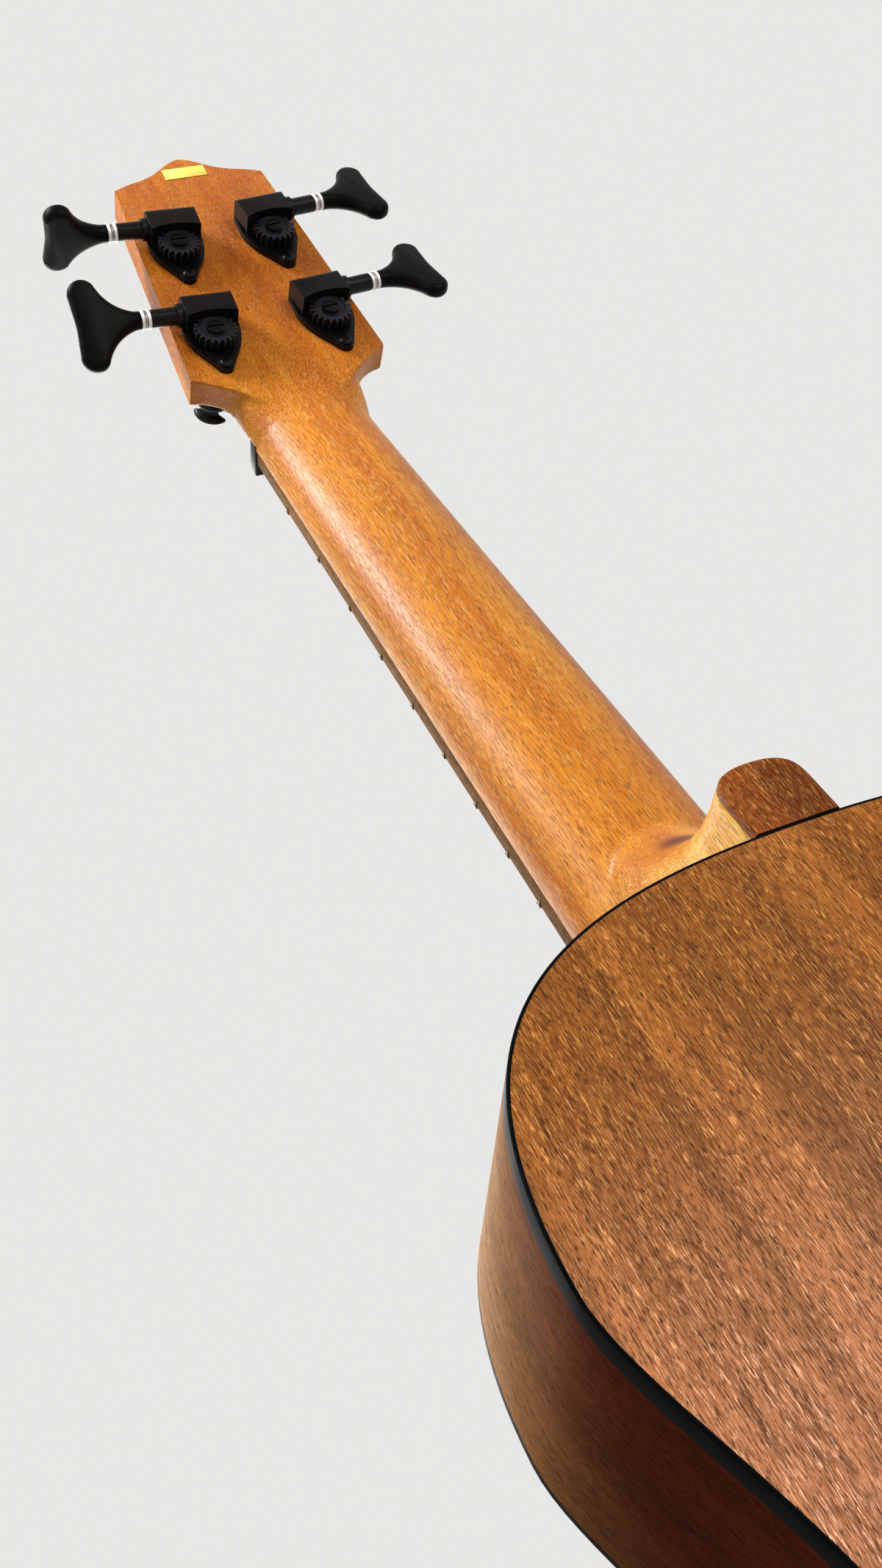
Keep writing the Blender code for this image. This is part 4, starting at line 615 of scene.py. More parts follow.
neckShape = {
    "depth": ((0, 20.6 * mm), (nutX, 14.45 * mm)),
    "heelNose": ((0, 19.5 * mm), (9 * mm, 20 * mm), (18 * mm, 21.5 * mm), (27 * mm, 25 * mm),
                 (35 * mm, 30 * mm), (41.5 * mm, 37 * mm), (46 * mm, 45 * mm), (49 * mm, 50 * mm)),
    "heelWidth": ((0, 10.9 * mm), (10 * mm, 11.5 * mm), (20 * mm, 13 * mm), (30 * mm, 16 * mm),
                  (38 * mm, 19 * mm), (46 * mm, 21 * mm), (49 * mm, 21.5 * mm)),
    "heelSquareness": ((0, 8.0), (14 * mm, 6.0), (28 * mm, 4.0), (40 * mm, 2.8), (49 * mm, 2.2)),
    "heelTop": 49 * mm, "cap": 2.4 * mm, "capEdge": 0.7 * mm, "capGap": 0.2 * mm, "above": 3 * mm,
    # how square the section is: by the neck's middle, what the head adds, and where it comes in
    "power": (2.2, 2.8), "squaring": (2 * mm, 24 * mm),
    # working of the surface: grid, smoothing passes, and wood grown past the head's outline and trimmed
    "voxel": 0.7 * mm, "filletPasses": 8, "throatPasses": 4, "grow": 1.2 * mm,
    # the zones that are smoothed, each side as (place, run)
    "filletAlong": ((4 * mm, 10 * mm), (84 * mm, 24 * mm)),
    "filletUp": ((24 * mm, 14 * mm), (62 * mm, 8 * mm)),
    "throatAlong": ((-8 * mm, 8 * mm), (head["shoulder"][0] - 1.5 * mm, 5 * mm)),
    "throatDown": (2 * mm, 4 * mm),
    "overlap": 0.4 * mm, "taper": 0.0234, "stations": {"shaft": 70, "heel": 40},
    # the trimming prism: length behind the nut, low and high, all past the neck
    "trim": (0.35, -0.3, 0.1),
    "faceThroat": ((12 * mm, 23.2 * mm), ((8.5 * mm, 0.4 * mm), (1.6 * mm, 8 * mm)), (4 * mm, 0.6 * mm)),
    "backThroat": ((11.5 * mm, 17 * mm), ((4.5 * mm, 3.3 * mm), (4.2 * mm, 7.8 * mm)), (5 * mm, 7 * mm)),
}
blendStart = nutX - 20 * mm
blendEnd = nutX + head["shoulder"][0] + 2 * mm


def neckHalfWidth(x):
    share = (nutX - x) / (scaleLength / 2)
    return neckWidth["atNut"] + (neckWidth["atJoint"] - neckWidth["atNut"]) * share


def headBack(x):
    return -head["drop"] - head["thickness"] / math.cos(head["tilt"]) - (x - nutX) * math.tan(head["tilt"])


def headFace(x):
    return -head["drop"] - (x - nutX) * math.tan(head["tilt"])


def neckBottom(x):
    depth = between(neckShape["depth"], min(x, nutX))
    if x <= blendStart:
        return -depth
    t = (x - blendStart) / (blendEnd - blendStart)
    length = blendEnd - blendStart
    start, end = -between(neckShape["depth"], blendStart), headBack(blendEnd) + neckShape["overlap"]
    startSlope, endSlope = neckShape["taper"] * length, -math.tan(head["tilt"]) * length
    return ((2 * t ** 3 - 3 * t * t + 1) * start + (t ** 3 - 2 * t * t + t) * startSlope
            + (3 * t * t - 2 * t ** 3) * end + (t ** 3 - t * t) * endSlope)


def neckSection(x):
    start, length = neckShape["squaring"]
    power = neckShape["power"][0] + neckShape["power"][1] * ease((x - nutX - start) / length)
    past = max(x - nutX, 0)
    throat = neckShape["faceThroat"][0]
    flare = (throat[1] - neckWidth["atNut"]) * (1 - (1 - min(past / throat[0], 1)) ** 2)
    half = (neckHalfWidth(x) if past == 0 else neckWidth["atNut"]) + flare
    top = 0 if past == 0 else headFace(x) - neckShape["overlap"]
    depth = top - neckBottom(x)
    points = []
    for i in range(33):
        angle = math.pi * i / 32
        c, s = math.cos(angle), math.sin(angle)
        points.append((x, math.copysign(abs(c) ** (2 / power), c) * half,
                       top - max(s, 0) ** (2 / power) * depth))
    if past == 0:
        points = [(x, half, neckShape["above"])] + points + [(x, -half, neckShape["above"])]
    else:
        points = [points[0]] + points + [points[-1]]
    return points


def noseRing(nose, half, power, z, foot, start=0):
    # from one flank round the heel's nose to the other, with its foot in the body
    points = [(foot, half, z)]
    for i in range(33):
        angle = math.pi / 2 * (1 - i / 16)
        c, s = math.cos(angle), math.sin(angle)
        points.append((start + max(c, 0) ** (2 / power) * (nose - start),
                       math.copysign(abs(s) ** (2 / 2.2), s) * half, z))
    return points + [(foot, -half, z)]


def heelSize(z):
    return [between(neckShape[key], z) for key in ("heelNose", "heelWidth", "heelSquareness")]


def heelSection(z):
    return noseRing(*heelSize(z), z, -2 * mm)


def headOutline(throat, cove, lead, grow=0):
    # grow adds wood past the side and the tip, which the outline then trims
    shoulder, corner = head["shoulder"], (head["tipCorner"][0] + grow, head["tipCorner"][1] + grow)
    leave = (throat[0] + cove[0][0], throat[1] + cove[0][1])
    arrive = (shoulder[0] - cove[1][0], shoulder[1] - cove[1][1])
    side = [(throat[0] - lead[0], throat[1] - lead[1])]
    side += [station[:2] for station in bezier(throat, leave, arrive, shoulder, 16)] + [shoulder]
    if grow:
        reach = 1.2 * grow / math.hypot(*cove[1])
        side.append((shoulder[0] + reach * cove[1][0], shoulder[1] + reach * cove[1][1]))
    knots = [corner] + [(corner[0] + rise, half) for half, rise in head["ogee"]]
    side += throughPoints(knots + [(knots[-2][0], -knots[-2][1])], 4)[:-4]
    return side + [(x, -y) for x, y in reversed(side[:-1])]


def headTrim():
    # a prism with the head's sides and tip, wide enough for the whole neck behind it
    behind, low, high = neckShape["trim"]
    side = [(-behind, head["shoulder"][1] + (head["shoulder"][0] + behind) * math.tan(edgeAngle))]
    side += [point for point in headOutline(*neckShape["backThroat"]) if point[1] >= 0]
    side = side[:1] + [point for point in side[1:] if point[0] > head["shoulder"][0] + 1 * mm]
    outline = side + [(x, -y) for x, y in reversed(side) if y > 0]
    return slab("trim", outline, low, high)


def makeNeck():
    low, high = neckShape["cap"] + 0.05 * mm, neckShape["heelTop"]
    steps, heelSteps = neckShape["stations"].values()
    spots = [-2 * mm + (blendEnd + 2 * mm) * i / steps for i in range(steps + 1)]
    shaft = loft("shaft", [neckSection(x) for x in spots])
    shaft.transform(topFrame)
    levels = [low + (high - low) * i / heelSteps for i in range(heelSteps + 1)]
    heel = loft("heel", [heelSection(z) for z in levels])
    heel.transform(rootFrame)
    grow = neckShape["grow"]
    back, face = headOutline(*neckShape["backThroat"], grow), headOutline(*neckShape["faceThroat"], grow)
    blank = loft("headBlank", [[(x, y, -head["thickness"]) for x, y in back], [(x, y, 0) for x, y in face]])
    blank.transform(headFrame)
    whole = joined("neckAndHead", [shaft, heel, blank])
    whole = worked(whole, ("REMESH", {"mode": "VOXEL", "voxel_size": neckShape["voxel"],
                                      "use_smooth_shade": True}))

    def filletZone(co):
        p = co - Vector((bodyEnd, 0, 0))
        return hump(p.x, *neckShape["filletAlong"]) * hump(p.z, *neckShape["filletUp"])

    def throatZone(co):
        p = headFrame.inverted() @ co
        down, run = neckShape["throatDown"]
        return hump(p.x, *neckShape["throatAlong"]) * ease((-p.z - down) / run)

    whole = worked(whole, ("SMOOTH", {"factor": 0.5, "iterations": neckShape["filletPasses"],
                                      "group": filletZone}))
    whole = worked(whole, ("SMOOTH", {"factor": 0.5, "iterations": neckShape["throatPasses"],
                                      "group": throatZone}))
    whole = worked(whole, ("SMOOTH", {"factor": 0.5, "iterations": 2}))
    trim = headTrim()
    trim.transform(headFrame)
    above = block("above", (-20 * mm, -60 * mm, 0), (nutX + 30 * mm, 60 * mm, 30 * mm))
    above.transform(topFrame)
    front = block("front", (0, -60 * mm, -0.02 * mm), (200 * mm, 60 * mm, 30 * mm))
    front.transform(headFrame)
    bores = []
    for side in (1, -1):
        for u, v in tunerRows:
            bores.append(rod("bore", head["bore"], -30 * mm, 10 * mm, 32, centre=(u, side * v)))
    bores = joined("bores", bores)
    bores.transform(headFrame)
    whole = worked(whole, ("BOOLEAN", {"operation": "INTERSECT", "solver": "EXACT", "tool": trim}),
                   cutBy(above), cutBy(front), cutBy(bores), angle=40)
    whole.transform(topFrame.inverted())
    addPiece("neckAndHead", whole, topFrame, materials["neckWood"], "neck")


def makeHeelCap():
    low, high, edge, gap = 0, neckShape["cap"], neckShape["capEdge"], neckShape["capGap"]
    nose, half, power = heelSize(0)
    sections = []
    for inset, z in ((edge, low), (0.35 * edge, low + 0.25 * edge), (0, low + edge), (0, high)):
        sections.append(noseRing(nose - inset, half - inset, power, z, gap, gap))
    mesh = loft("heelCap", sections, angle=25)
    addPiece("heelCap", mesh, rootFrame, materials["capWood"], "heel_cap")


labelShape = {"long": 5.8 * mm, "wide": 16.4 * mm, "thick": 0.2 * mm, "edge": 0.06 * mm,
              "fromNut": 133 * mm}


def makeLabel():
    long, wide = labelShape["long"] / 2, labelShape["wide"] / 2
    label = block("label", (-long, -wide, -labelShape["thick"]), (long, wide, 0))
    mesh = worked(label, bevelled(labelShape["edge"], 2))
    place = headFrame @ Matrix.Translation((labelShape["fromNut"], 0, -head["thickness"]))
    addPiece("blankLabel", mesh, place, materials["labelFinish"], "label")


makeNeck()
makeHeelCap()
makeLabel()
print("neck done")


# Fretboard, frets and nut

fretShape = {
    "width": 2 * mm, "height": 1 * mm, "end": 0.35 * mm, "tangHalf": 0.3 * mm, "tangDepth": 1.6 * mm,
    # the crown falls off towards the ends: distance from the end and share of the height
    "falloff": ((0, 0.3), (0.15 * mm, 0.7), (0.6 * mm, 1)),
}


def makeFretboard():
    end = nutX - fretDistance(board["frets"]) - board["tail"]
    edge = [(x, neckHalfWidth(x)) for x in (nutX - 0.1 * mm, end)]
    outline = edge + [(x, -y) for x, y in reversed(edge)]
    mesh = worked(slab("fretboard", outline, board["seat"], board["top"]), bevelled(0.3 * mm, 3))
    addPiece("fretboard", mesh, topFrame, materials["boardWood"], "fretboard")
    for number in range(1, board["frets"] + 1):
        x = nutX - fretDistance(number)
        half = neckHalfWidth(x) + fretShape["end"]
        tang, seat = board["top"] - fretShape["tangDepth"], board["top"] - 0.1 * mm
        tangHalf = fretShape["tangHalf"]
        across = [(-half + inset, share) for inset, share in fretShape["falloff"]]
        across += [(half - inset, share) for inset, share in reversed(fretShape["falloff"])]
        sections = []
        for y, share in across:
            arc = [math.pi * i / 10 for i in range(11)]
            points = [(x + 0.5 * fretShape["width"] * math.cos(a), y,
                       board["top"] + fretShape["height"] * share * math.sin(a)) for a in arc]
            points += [(x - tangHalf, y, seat), (x - tangHalf, y, tang),
                       (x + tangHalf, y, tang), (x + tangHalf, y, seat)]
            sections.append(points)
        mesh = loft("fret", sections, angle=40)
        addPiece("fret%02d" % number, mesh, topFrame, materials["fretFinish"])


def stringSpread(index, outer):
    return outer * (1 - 2 * index / (len(strings) - 1))


nutShape = {
    "width": 5.2 * mm, "middle": 2.6 * mm, "overhang": 0.6 * mm, "height": 4 * mm,
    "stringInset": 5.2 * mm, "stringRise": 0.8 * mm, "slotRoom": 0.12 * mm,
}


def nutPoint(index):
    y = stringSpread(index, neckWidth["atNut"] - nutShape["stringInset"])
    z = board["fretTop"] + nutShape["stringRise"] + strings[index]["radius"]
    return Vector((nutX + nutShape["middle"], y, z))


def makeNut():
    half, wide = neckWidth["atNut"] + nutShape["overhang"], nutShape["width"]
    low, high = headFace(nutX + wide), board["fretTop"] + nutShape["height"]
    shape = [(0, low), (wide, low), (wide, high - 3.4 * mm), (wide - 0.9 * mm, high - 1.6 * mm),
             (wide - 2.2 * mm, high - 0.6 * mm), (1.6 * mm, high), (0.4 * mm, high - 0.2 * mm),
             (0, high - 0.6 * mm)]
    outline = [[(nutX + x, y, z) for x, z in shape] for y in (-half, half)]
    slots = []
    for index, string in enumerate(strings):
        centre, radius = nutPoint(index), string["radius"] + nutShape["slotRoom"]
        arc = [(radius * math.cos(a), radius * math.sin(a))
               for a in (math.pi * (1 + i / 12) for i in range(13))]
        section = arc + [(radius, 20 * mm), (-radius, 20 * mm)]
        slots.append(loft("slot", [[(x, centre.y + y, centre.z + z) for y, z in section]
                                   for x in (nutX - 1 * mm, nutX + wide + 1 * mm)]))
    mesh = worked(loft("nut", outline), bevelled(0.5 * mm, 3, 50), cutBy(joined("slots", slots)))
    addPiece("nut", mesh, topFrame, materials["blackPlastic"], "nut")


makeFretboard()
makeNut()
print("fretboard done")


# Bridge with saddle

bridgeShape = {
    "half": 54 * mm, "width": 30 * mm, "base": 4 * mm, "corner": 6 * mm, "behindSaddle": 22 * mm,
    "tie": (12 * mm, 34 * mm, 9.2 * mm), "ridge": (7 * mm, 7.5 * mm), "saddle": (3.2 * mm, 33 * mm),
    "hole": 5.6 * mm, "holeRoom": 0.3 * mm, "saddleRoom": 0.05 * mm, "slotFloor": 2.2 * mm,
    "saddleFoot": 4.1 * mm, "spread": 26 * mm, "edge": 0.9 * mm,
}
saddleTop = board["fretTop"] + nutShape["stringRise"] + strings[0]["radius"] * 2 - 0.3 * mm


def saddlePoint(index):
    y = stringSpread(index, bridgeShape["spread"])
    return Vector((saddleX, y, saddleTop + 0.1 * mm + strings[index]["radius"]))


def makeBridge():
    shape = bridgeShape
    back = saddleX - shape["behindSaddle"]
    front = back + shape["width"]
    corner = [(shape["corner"] * (1 - math.sin(a)), shape["corner"] * (1 - math.cos(a)))
              for a in (math.pi / 2 * i / 8 for i in range(9))]
    side = [(front - dx, shape["half"] - dy) for dx, dy in reversed(corner)]
    side += [(back + dx, shape["half"] - dy) for dx, dy in corner]
    outline = side + [(x, -y) for x, y in reversed(side)]
    base = slab("bridge", outline, 0.05 * mm, shape["base"])
    length, half, height = shape["tie"]
    lower = shape["base"] - 0.5 * mm
    tie = block("tie", (back + 1.2 * mm, -half, lower), (back + length, half, height))
    ridge = block("ridge", (saddleX - shape["ridge"][0] / 2, -half, lower),
                  (saddleX + shape["ridge"][0] / 2, half, shape["ridge"][1]))
    (thick, saddleHalf), room = shape["saddle"], shape["saddleRoom"]
    slot = block("slot", (saddleX - thick / 2 - room, -saddleHalf - room, shape["slotFloor"]),
                 (saddleX + thick / 2 + room, saddleHalf + room, 20 * mm))
    holes = [slot]
    for index, string in enumerate(strings):
        y, radius = stringSpread(index, shape["spread"]), string["radius"] + shape["holeRoom"]
        holes.append(rod("hole", radius, back - 2 * mm, back + length + 2 * mm, 32, "X", (y, shape["hole"])))
    mesh = worked(base, unitedWith(joined("blocks", [tie, ridge])), bevelled(shape["edge"], 4, 40),
                  cutBy(joined("holes", holes)))
    addPiece("bridge", mesh, topFrame, materials["boardWood"], "bridge")
    saddle = block("saddle", (saddleX - thick / 2, -saddleHalf, shape["saddleFoot"]),
                   (saddleX + thick / 2, saddleHalf, saddleTop))
    mesh = worked(saddle, bevelled(0.7 * mm, 4))
    addPiece("saddle", mesh, topFrame, materials["bone"], "saddle")


makeBridge()
print("bridge done")


# Tuning machines; x runs towards the head's tip and z backwards from the back of the head

machine = {
    # the worm's axis: distance from the post and height over the head; then worm and wheel
    "offset": 9.75 * mm, "height": 5.2 * mm, "teeth": 20, "module": 0.705 * mm, "addendum": 0.65 * mm,
    "clearance": 0.25 * mm, "toothThickness": 0.95 * mm, "threadThickness": 0.85 * mm,
    "wheelWidth": 3.2 * mm, "turns": 4, "housingHalf": 9 * mm, "housingHeight": 10 * mm,
    "hollow": 1.9 * mm, "mouth": 5.6 * mm, "plate": 2.3 * mm, "plateHalf": 10.1 * mm, "screwX": -12.9 * mm,
    "tipRadius": 2.9 * mm, "collar": (4 * mm, 2.3 * mm), "shaft": 3.1 * mm, "journal": 1.5 * mm,
    "ring": (3.35 * mm, 1.1 * mm, 22.1 * mm),    # radius, width of one band, middle of the three
    "room": 0.35 * mm, "wall": 1.7 * mm, "bend": 2.4 * mm, "hole": 4.35 * mm, "lip": (5.6 * mm, 3.3 * mm),
    "threadSteps": 32, "threadAngle": 20, "tipAngle": 24, "footAngle": 16,
}
wheelRadius = machine["module"] * machine["teeth"] / 2
wormRadius = machine["offset"] - wheelRadius
wheelTip = wheelRadius + machine["addendum"]
wormTip = wormRadius + machine["addendum"]
wheelRoot = machine["offset"] - wormTip - machine["clearance"]
wormRoot = machine["offset"] - wheelTip - machine["clearance"]
wormPitch = math.pi * machine["module"]
wormHalf = machine["turns"] * wormPitch / 2 + 1.2 * mm
hoodFar = machine["offset"] + wormTip + machine["room"] + machine["wall"]
keyStart = machine["ring"][2] + 1.5 * machine["ring"][1] + 0.1 * mm


def plateOutline():
    side = [(hoodFar, machine["housingHalf"]), (5.5 * mm, machine["plateHalf"]),
            (2.8 * mm, 9.85 * mm), (0, 9.3 * mm), (-2.4 * mm, 8.6 * mm), (-4.6 * mm, 7.7 * mm),
            (-7 * mm, 6.5 * mm), (-9.4 * mm, 5.1 * mm)]
    for i in range(9):
        angle = math.radians(112 + 68 * i / 8)
        side.append((machine["screwX"] + machine["tipRadius"] * math.cos(angle),
                     machine["tipRadius"] * math.sin(angle)))
    return side + [(x, -y) for x, y in reversed(side[:-1])]


def hoodMesh():
    near = machine["mouth"] - machine["hollow"] - 0.5 * mm
    top, bend, lower = machine["housingHeight"], machine["bend"], machine["plate"] - 0.5 * mm
    half = machine["housingHalf"]
    arc = [(hoodFar - bend * (1 - math.sin(a)), top - bend * (1 - math.cos(a)))
           for a in (math.pi / 2 * (1 - i / 8) for i in range(9))]
    shape = [(near, lower), (hoodFar, lower)] + arc + [(near, top)]
    return loft("hood", [[(x, y, z) for x, z in shape] for y in (-half, half)])


def housingMesh(out):
    # base plate, hood and shaft collar as one casting; out is the side of the key
    half, room = machine["housingHalf"], machine["room"]
    axis = (machine["offset"], machine["height"])
    base = slab("housing", plateOutline(), 0.02 * mm, machine["plate"])
    radius, length = machine["collar"]
    ends = sorted((out * (half - 0.5 * mm), out * (half + length)))
    collar = rod("collar", radius, ends[0], ends[1], 48, "Y", axis)
    rise = machine["hollow"]
    bow = (half * half + rise * rise) / (2 * rise)
    hollow = rod("hollow", bow, machine["plate"], 20 * mm, 220, centre=(machine["mouth"] - bow, 0))
    wheelRoom = rod("wheelRoom", wheelTip + room, machine["plate"],
                    machine["height"] + machine["wheelWidth"] / 2 + 0.3 * mm, 64)
    wormRoom = rod("wormRoom", wormTip + room, -wormHalf - 0.3 * mm, wormHalf + 0.3 * mm, 40, "Y", axis)
    ends = sorted((out * wormHalf, out * 2 * half))
    bore = rod("bore", machine["shaft"] + 0.2 * mm, ends[0], ends[1], 48, "Y", axis)
    post = rod("postHole", machine["hole"], -1 * mm, 2 * machine["plate"], 48)
    (wide, top), foot = machine["lip"], machine["plate"] - 0.5 * mm
    lip = lathe("lip", [(wide, foot), (wide, 3.0 * mm), (5.3 * mm, top), (4.4 * mm, top), (4.4 * mm, foot)])
    outer = worked(base, unitedWith(hoodMesh()), unitedWith(collar), cutBy(hollow),
                   bevelled(0.45 * mm, 3, 40))
    inner = worked(outer, cutBy(wheelRoom), cutBy(wormRoom), cutBy(bore), cutBy(post))
    return joined("housing", [inner, lip])


def wormRows():
    # one section of the thread after another along its helix
    steps = machine["threadSteps"]
    tangent = math.tan(math.radians(machine["threadAngle"]))
    crest = machine["threadThickness"] / 2 - machine["addendum"] * tangent
    foot = machine["threadThickness"] / 2 + (wormRadius - wormRoot) * tangent
    count = machine["turns"] * steps
    rows = []
    for i in range(count + 1):
        angle = math.pi + 2 * math.pi * (i - count / 2) / steps
        along = wormPitch * (i - count / 2) / steps
        fade = min(min(i, count - i) / (steps / 4), 1)
        tip = wormRoot + (wormTip - wormRoot) * fade
        rows.append([(r * math.cos(angle), r * math.sin(angle), along + z)
                     for z, r in ((-foot, wormRoot - 0.05 * mm), (-crest, tip), (crest, tip),
                                  (foot, wormRoot - 0.05 * mm))])
    return rows


def shaftMeshes():
    # the dark shaft with its worm, the two bright rings, and the grey band between them
    thread = loft("thread", wormRows(), angle=30)
    radius, wide, centre = machine["ring"]
    shaft = machine["shaft"]
    start = centre - 1.5 * wide
    core = lathe("core", [(0, -wormHalf - 2 * mm), (machine["journal"], -wormHalf - 2 * mm),
                          (machine["journal"], -wormHalf), (wormRoot, -wormHalf), (wormRoot, wormHalf),
                          (shaft, wormHalf), (shaft, start - 0.3 * mm),
                          (shaft - 0.15 * mm, start - 0.15 * mm),
                          (shaft - 0.15 * mm, keyStart + 0.4 * mm), (1.9 * mm, keyStart + 0.4 * mm),
                          (1.9 * mm, keyStart + 6 * mm), (0, keyStart + 6 * mm)])
    rings, soft = [], 0.18 * mm
    for index, r in ((0, radius), (1, shaft), (2, radius)):
        low = start + index * wide
        rings.append(lathe("ring", [(shaft - 0.5 * mm, low), (r - soft, low), (r, low + soft),
                                    (r, low + wide - soft), (r - soft, low + wide),
                                    (shaft - 0.5 * mm, low + wide)], 64))
    return joined("wormShaft", [thread, core]), joined("rings", [rings[0], rings[2]]), rings[1]


keyShape = {"length": 22.6 * mm, "spread": 10.9 * mm, "lobe": 5 * mm, "thick": 2.7 * mm,
            "edge": 2.1 * mm, "hollow": 0.8 * mm,
            # the waist's half width in stem radii at shares of the length, and angles round the lobe
            "waist": ((1, 0), (1.06, 0.1), (1.5, 0.25), (2.2, 0.39), (3.1, 0.5)),
            "lobeAngles": (-75, -52, -28, -5, 18, 42, 65, 88, 104)}


def keyOutline():
    # runs from the stem round one lobe to the hollow end and back round the other lobe
    shape, stem = keyShape, machine["shaft"]
    length, spread, lobe = shape["length"], shape["spread"], shape["lobe"]
    side = [(radii * stem, share * length) for radii, share in shape["waist"]]
    for degrees in shape["lobeAngles"]:
        angle = math.radians(degrees)
        side.append((spread + lobe * math.cos(angle), length - lobe + lobe * math.sin(angle)))
    side.append((0.55 * spread, length - 0.52 * shape["hollow"]))
    return throughPoints(side + [(0, length - shape["hollow"])] + [(-x, z) for x, z in reversed(side)], 4)


def keyMesh():
    # round at the stem, flat with rounded edges at the lobes
    outline = keyOutline()
    stem = machine["shaft"]
    sections = []
    for half, angles in ((-1, (-88, -70, -50, -25, -3)), (1, (3, 25, 50, 70, 88))):
        for degrees in angles:
            angle = math.radians(degrees)
            section = []
            for (x, z), (x0, z0) in zip(insetOutline(outline, 1.0), outline):
                share = ease(max(z0, 0) / keyShape["length"] * 1.25)
                edge = stem + (keyShape["edge"] - stem) * share
                thick = stem + (keyShape["thick"] - stem) * share
                inset = edge * (1 - math.cos(angle))
                across, out = x0 + (x - x0) * inset, z0 + (z - z0) * inset
                if z0 <= 0:
                    across, out = math.copysign(abs(x0) * math.cos(angle), x0), 0
                section.append((across, half * (thick - edge) + edge * math.sin(angle), keyStart + out))
            sections.append(section)
    return loft("key", sections, angle=40)


def wheelOutline(turn):
    points = []
    tipHalf = machine["toothThickness"] / 2 - machine["addendum"] * math.tan(math.radians(machine["tipAngle"]))
    flare = math.tan(math.radians(machine["footAngle"]))
    footHalf = machine["toothThickness"] / 2 + (wheelRadius - wheelRoot) * flare
    for tooth in range(machine["teeth"]):
        middle = 2 * math.pi * (tooth + 0.5) / machine["teeth"] + turn
        for radius, half in ((wheelRoot, -footHalf), (wheelRadius, -machine["toothThickness"] / 2),
                             (wheelTip, -tipHalf), (wheelTip, tipHalf),
                             (wheelRadius, machine["toothThickness"] / 2), (wheelRoot, footHalf)):
            angle = middle + half / radius
            points.append((radius * math.cos(angle), radius * math.sin(angle)))
    return points


def wheelMesh():
    half = machine["wheelWidth"] / 2
    leadSlope = wormPitch / (2 * math.pi * wormRadius)
    sections = []
    for i in range(5):
        z = -half + 2 * half * i / 4
        sections.append([(x, y, z) for x, y in wheelOutline(z * leadSlope / wheelRadius)])
    wheel = loft("wheel", sections, angle=30)
    dish = lathe("dish", [(0, half - 0.35 * mm), (5.2 * mm, half - 0.35 * mm), (5.5 * mm, half + 1 * mm),
                          (0, half + 1 * mm)], 64)
    return worked(wheel, cutBy(dish), bevelled(0.1 * mm, 2, 40))


def wheelScrewMesh():
    base = machine["wheelWidth"] / 2 - 0.5 * mm
    head = lathe("head", [(0, base), (3 * mm, base), (3 * mm, base + 0.9 * mm), (2.7 * mm, base + 1.25 * mm),
                          (1.9 * mm, base + 1.45 * mm), (0, base + 1.5 * mm)], 48)
    slot = block("slot", (-0.42 * mm, -5 * mm, base + 0.75 * mm), (0.42 * mm, 5 * mm, base + 3 * mm))
    return worked(head, cutBy(slot))


postShape = {"aboveFace": 21 * mm, "radius": 4.2 * mm, "slotHalf": 2.6 * mm, "slotDepth": 8.1 * mm}


def postMesh(bearing):
    # bearing is the way of the slot, across which the string's end goes
    face, radius = -head["thickness"], postShape["radius"]
    tip = -head["thickness"] - postShape["aboveFace"]
    profile = [(0, 5.6 * mm), (2.4 * mm, 5.6 * mm), (2.4 * mm, 3.3 * mm), (4 * mm, 3.3 * mm),
               (4 * mm, face - 2.3 * mm), (radius, face - 2.6 * mm), (radius, tip + 3.4 * mm),
               (4.5 * mm, tip + 2.7 * mm), (5.6 * mm, tip + 2.2 * mm), (6.5 * mm, tip + 1.7 * mm),
               (6.8 * mm, tip + 1.1 * mm), (6.75 * mm, tip + 0.6 * mm), (6.4 * mm, tip + 0.15 * mm),
               (6 * mm, tip), (0, tip)]
    half = postShape["slotHalf"]
    slot = block("slot", (-10 * mm, -half, tip - 1 * mm), (10 * mm, half, tip + postShape["slotDepth"]))
    slot.transform(Matrix.Rotation(bearing, 4, "Z"))
    return worked(lathe("post", profile, 64), cutBy(slot), bevelled(0.2 * mm, 2, 50))


def bushingMesh():
    face, bore = -head["thickness"], machine["hole"]
    return lathe("bushing", [(bore, face + 8 * mm), (5.6 * mm, face + 8 * mm), (5.6 * mm, face - 0.02 * mm),
                             (7.5 * mm, face - 0.02 * mm), (7.5 * mm, face - 1.2 * mm),
                             (7.3 * mm, face - 1.7 * mm), (6.7 * mm, face - 2.1 * mm),
                             (6.2 * mm, face - 2.2 * mm), (bore, face - 2.2 * mm)], 64)


def mountingScrewMesh():
    seat = machine["plate"] + 0.02 * mm
    body = lathe("screw", [(0, seat + 1.3 * mm), (1.2 * mm, seat + 1.22 * mm), (1.8 * mm, seat + 0.95 * mm),
                           (2.2 * mm, seat + 0.45 * mm), (2.2 * mm, seat), (1.3 * mm, seat),
                           (1.3 * mm, -6 * mm), (0, -8 * mm)], 40)
    arms = [block("arm", (-1.3 * mm, -0.25 * mm, seat + 0.6 * mm), (1.3 * mm, 0.25 * mm, seat + 2 * mm)),
            block("arm", (-0.25 * mm, -1.3 * mm, seat + 0.6 * mm), (0.25 * mm, 1.3 * mm, seat + 2 * mm))]
    return worked(body, cutBy(arms[0]), cutBy(arms[1]))


# String windings, with z backwards in the tuner's frame

winding = {
    "gap": 0.35 * mm, "slotGap": 0.3 * mm, "turnGap": 0.7 * mm, "slotTurn": 1.15,
    # the end turns into the slot: share of the radius, and of the slot turn
    "turnIn": ((1.0, 0.38), (0.93, 0.65), (0.72, 0.88), (0.42, 0.98), (0.12, 1.0), (-0.18, 1.0)),
}


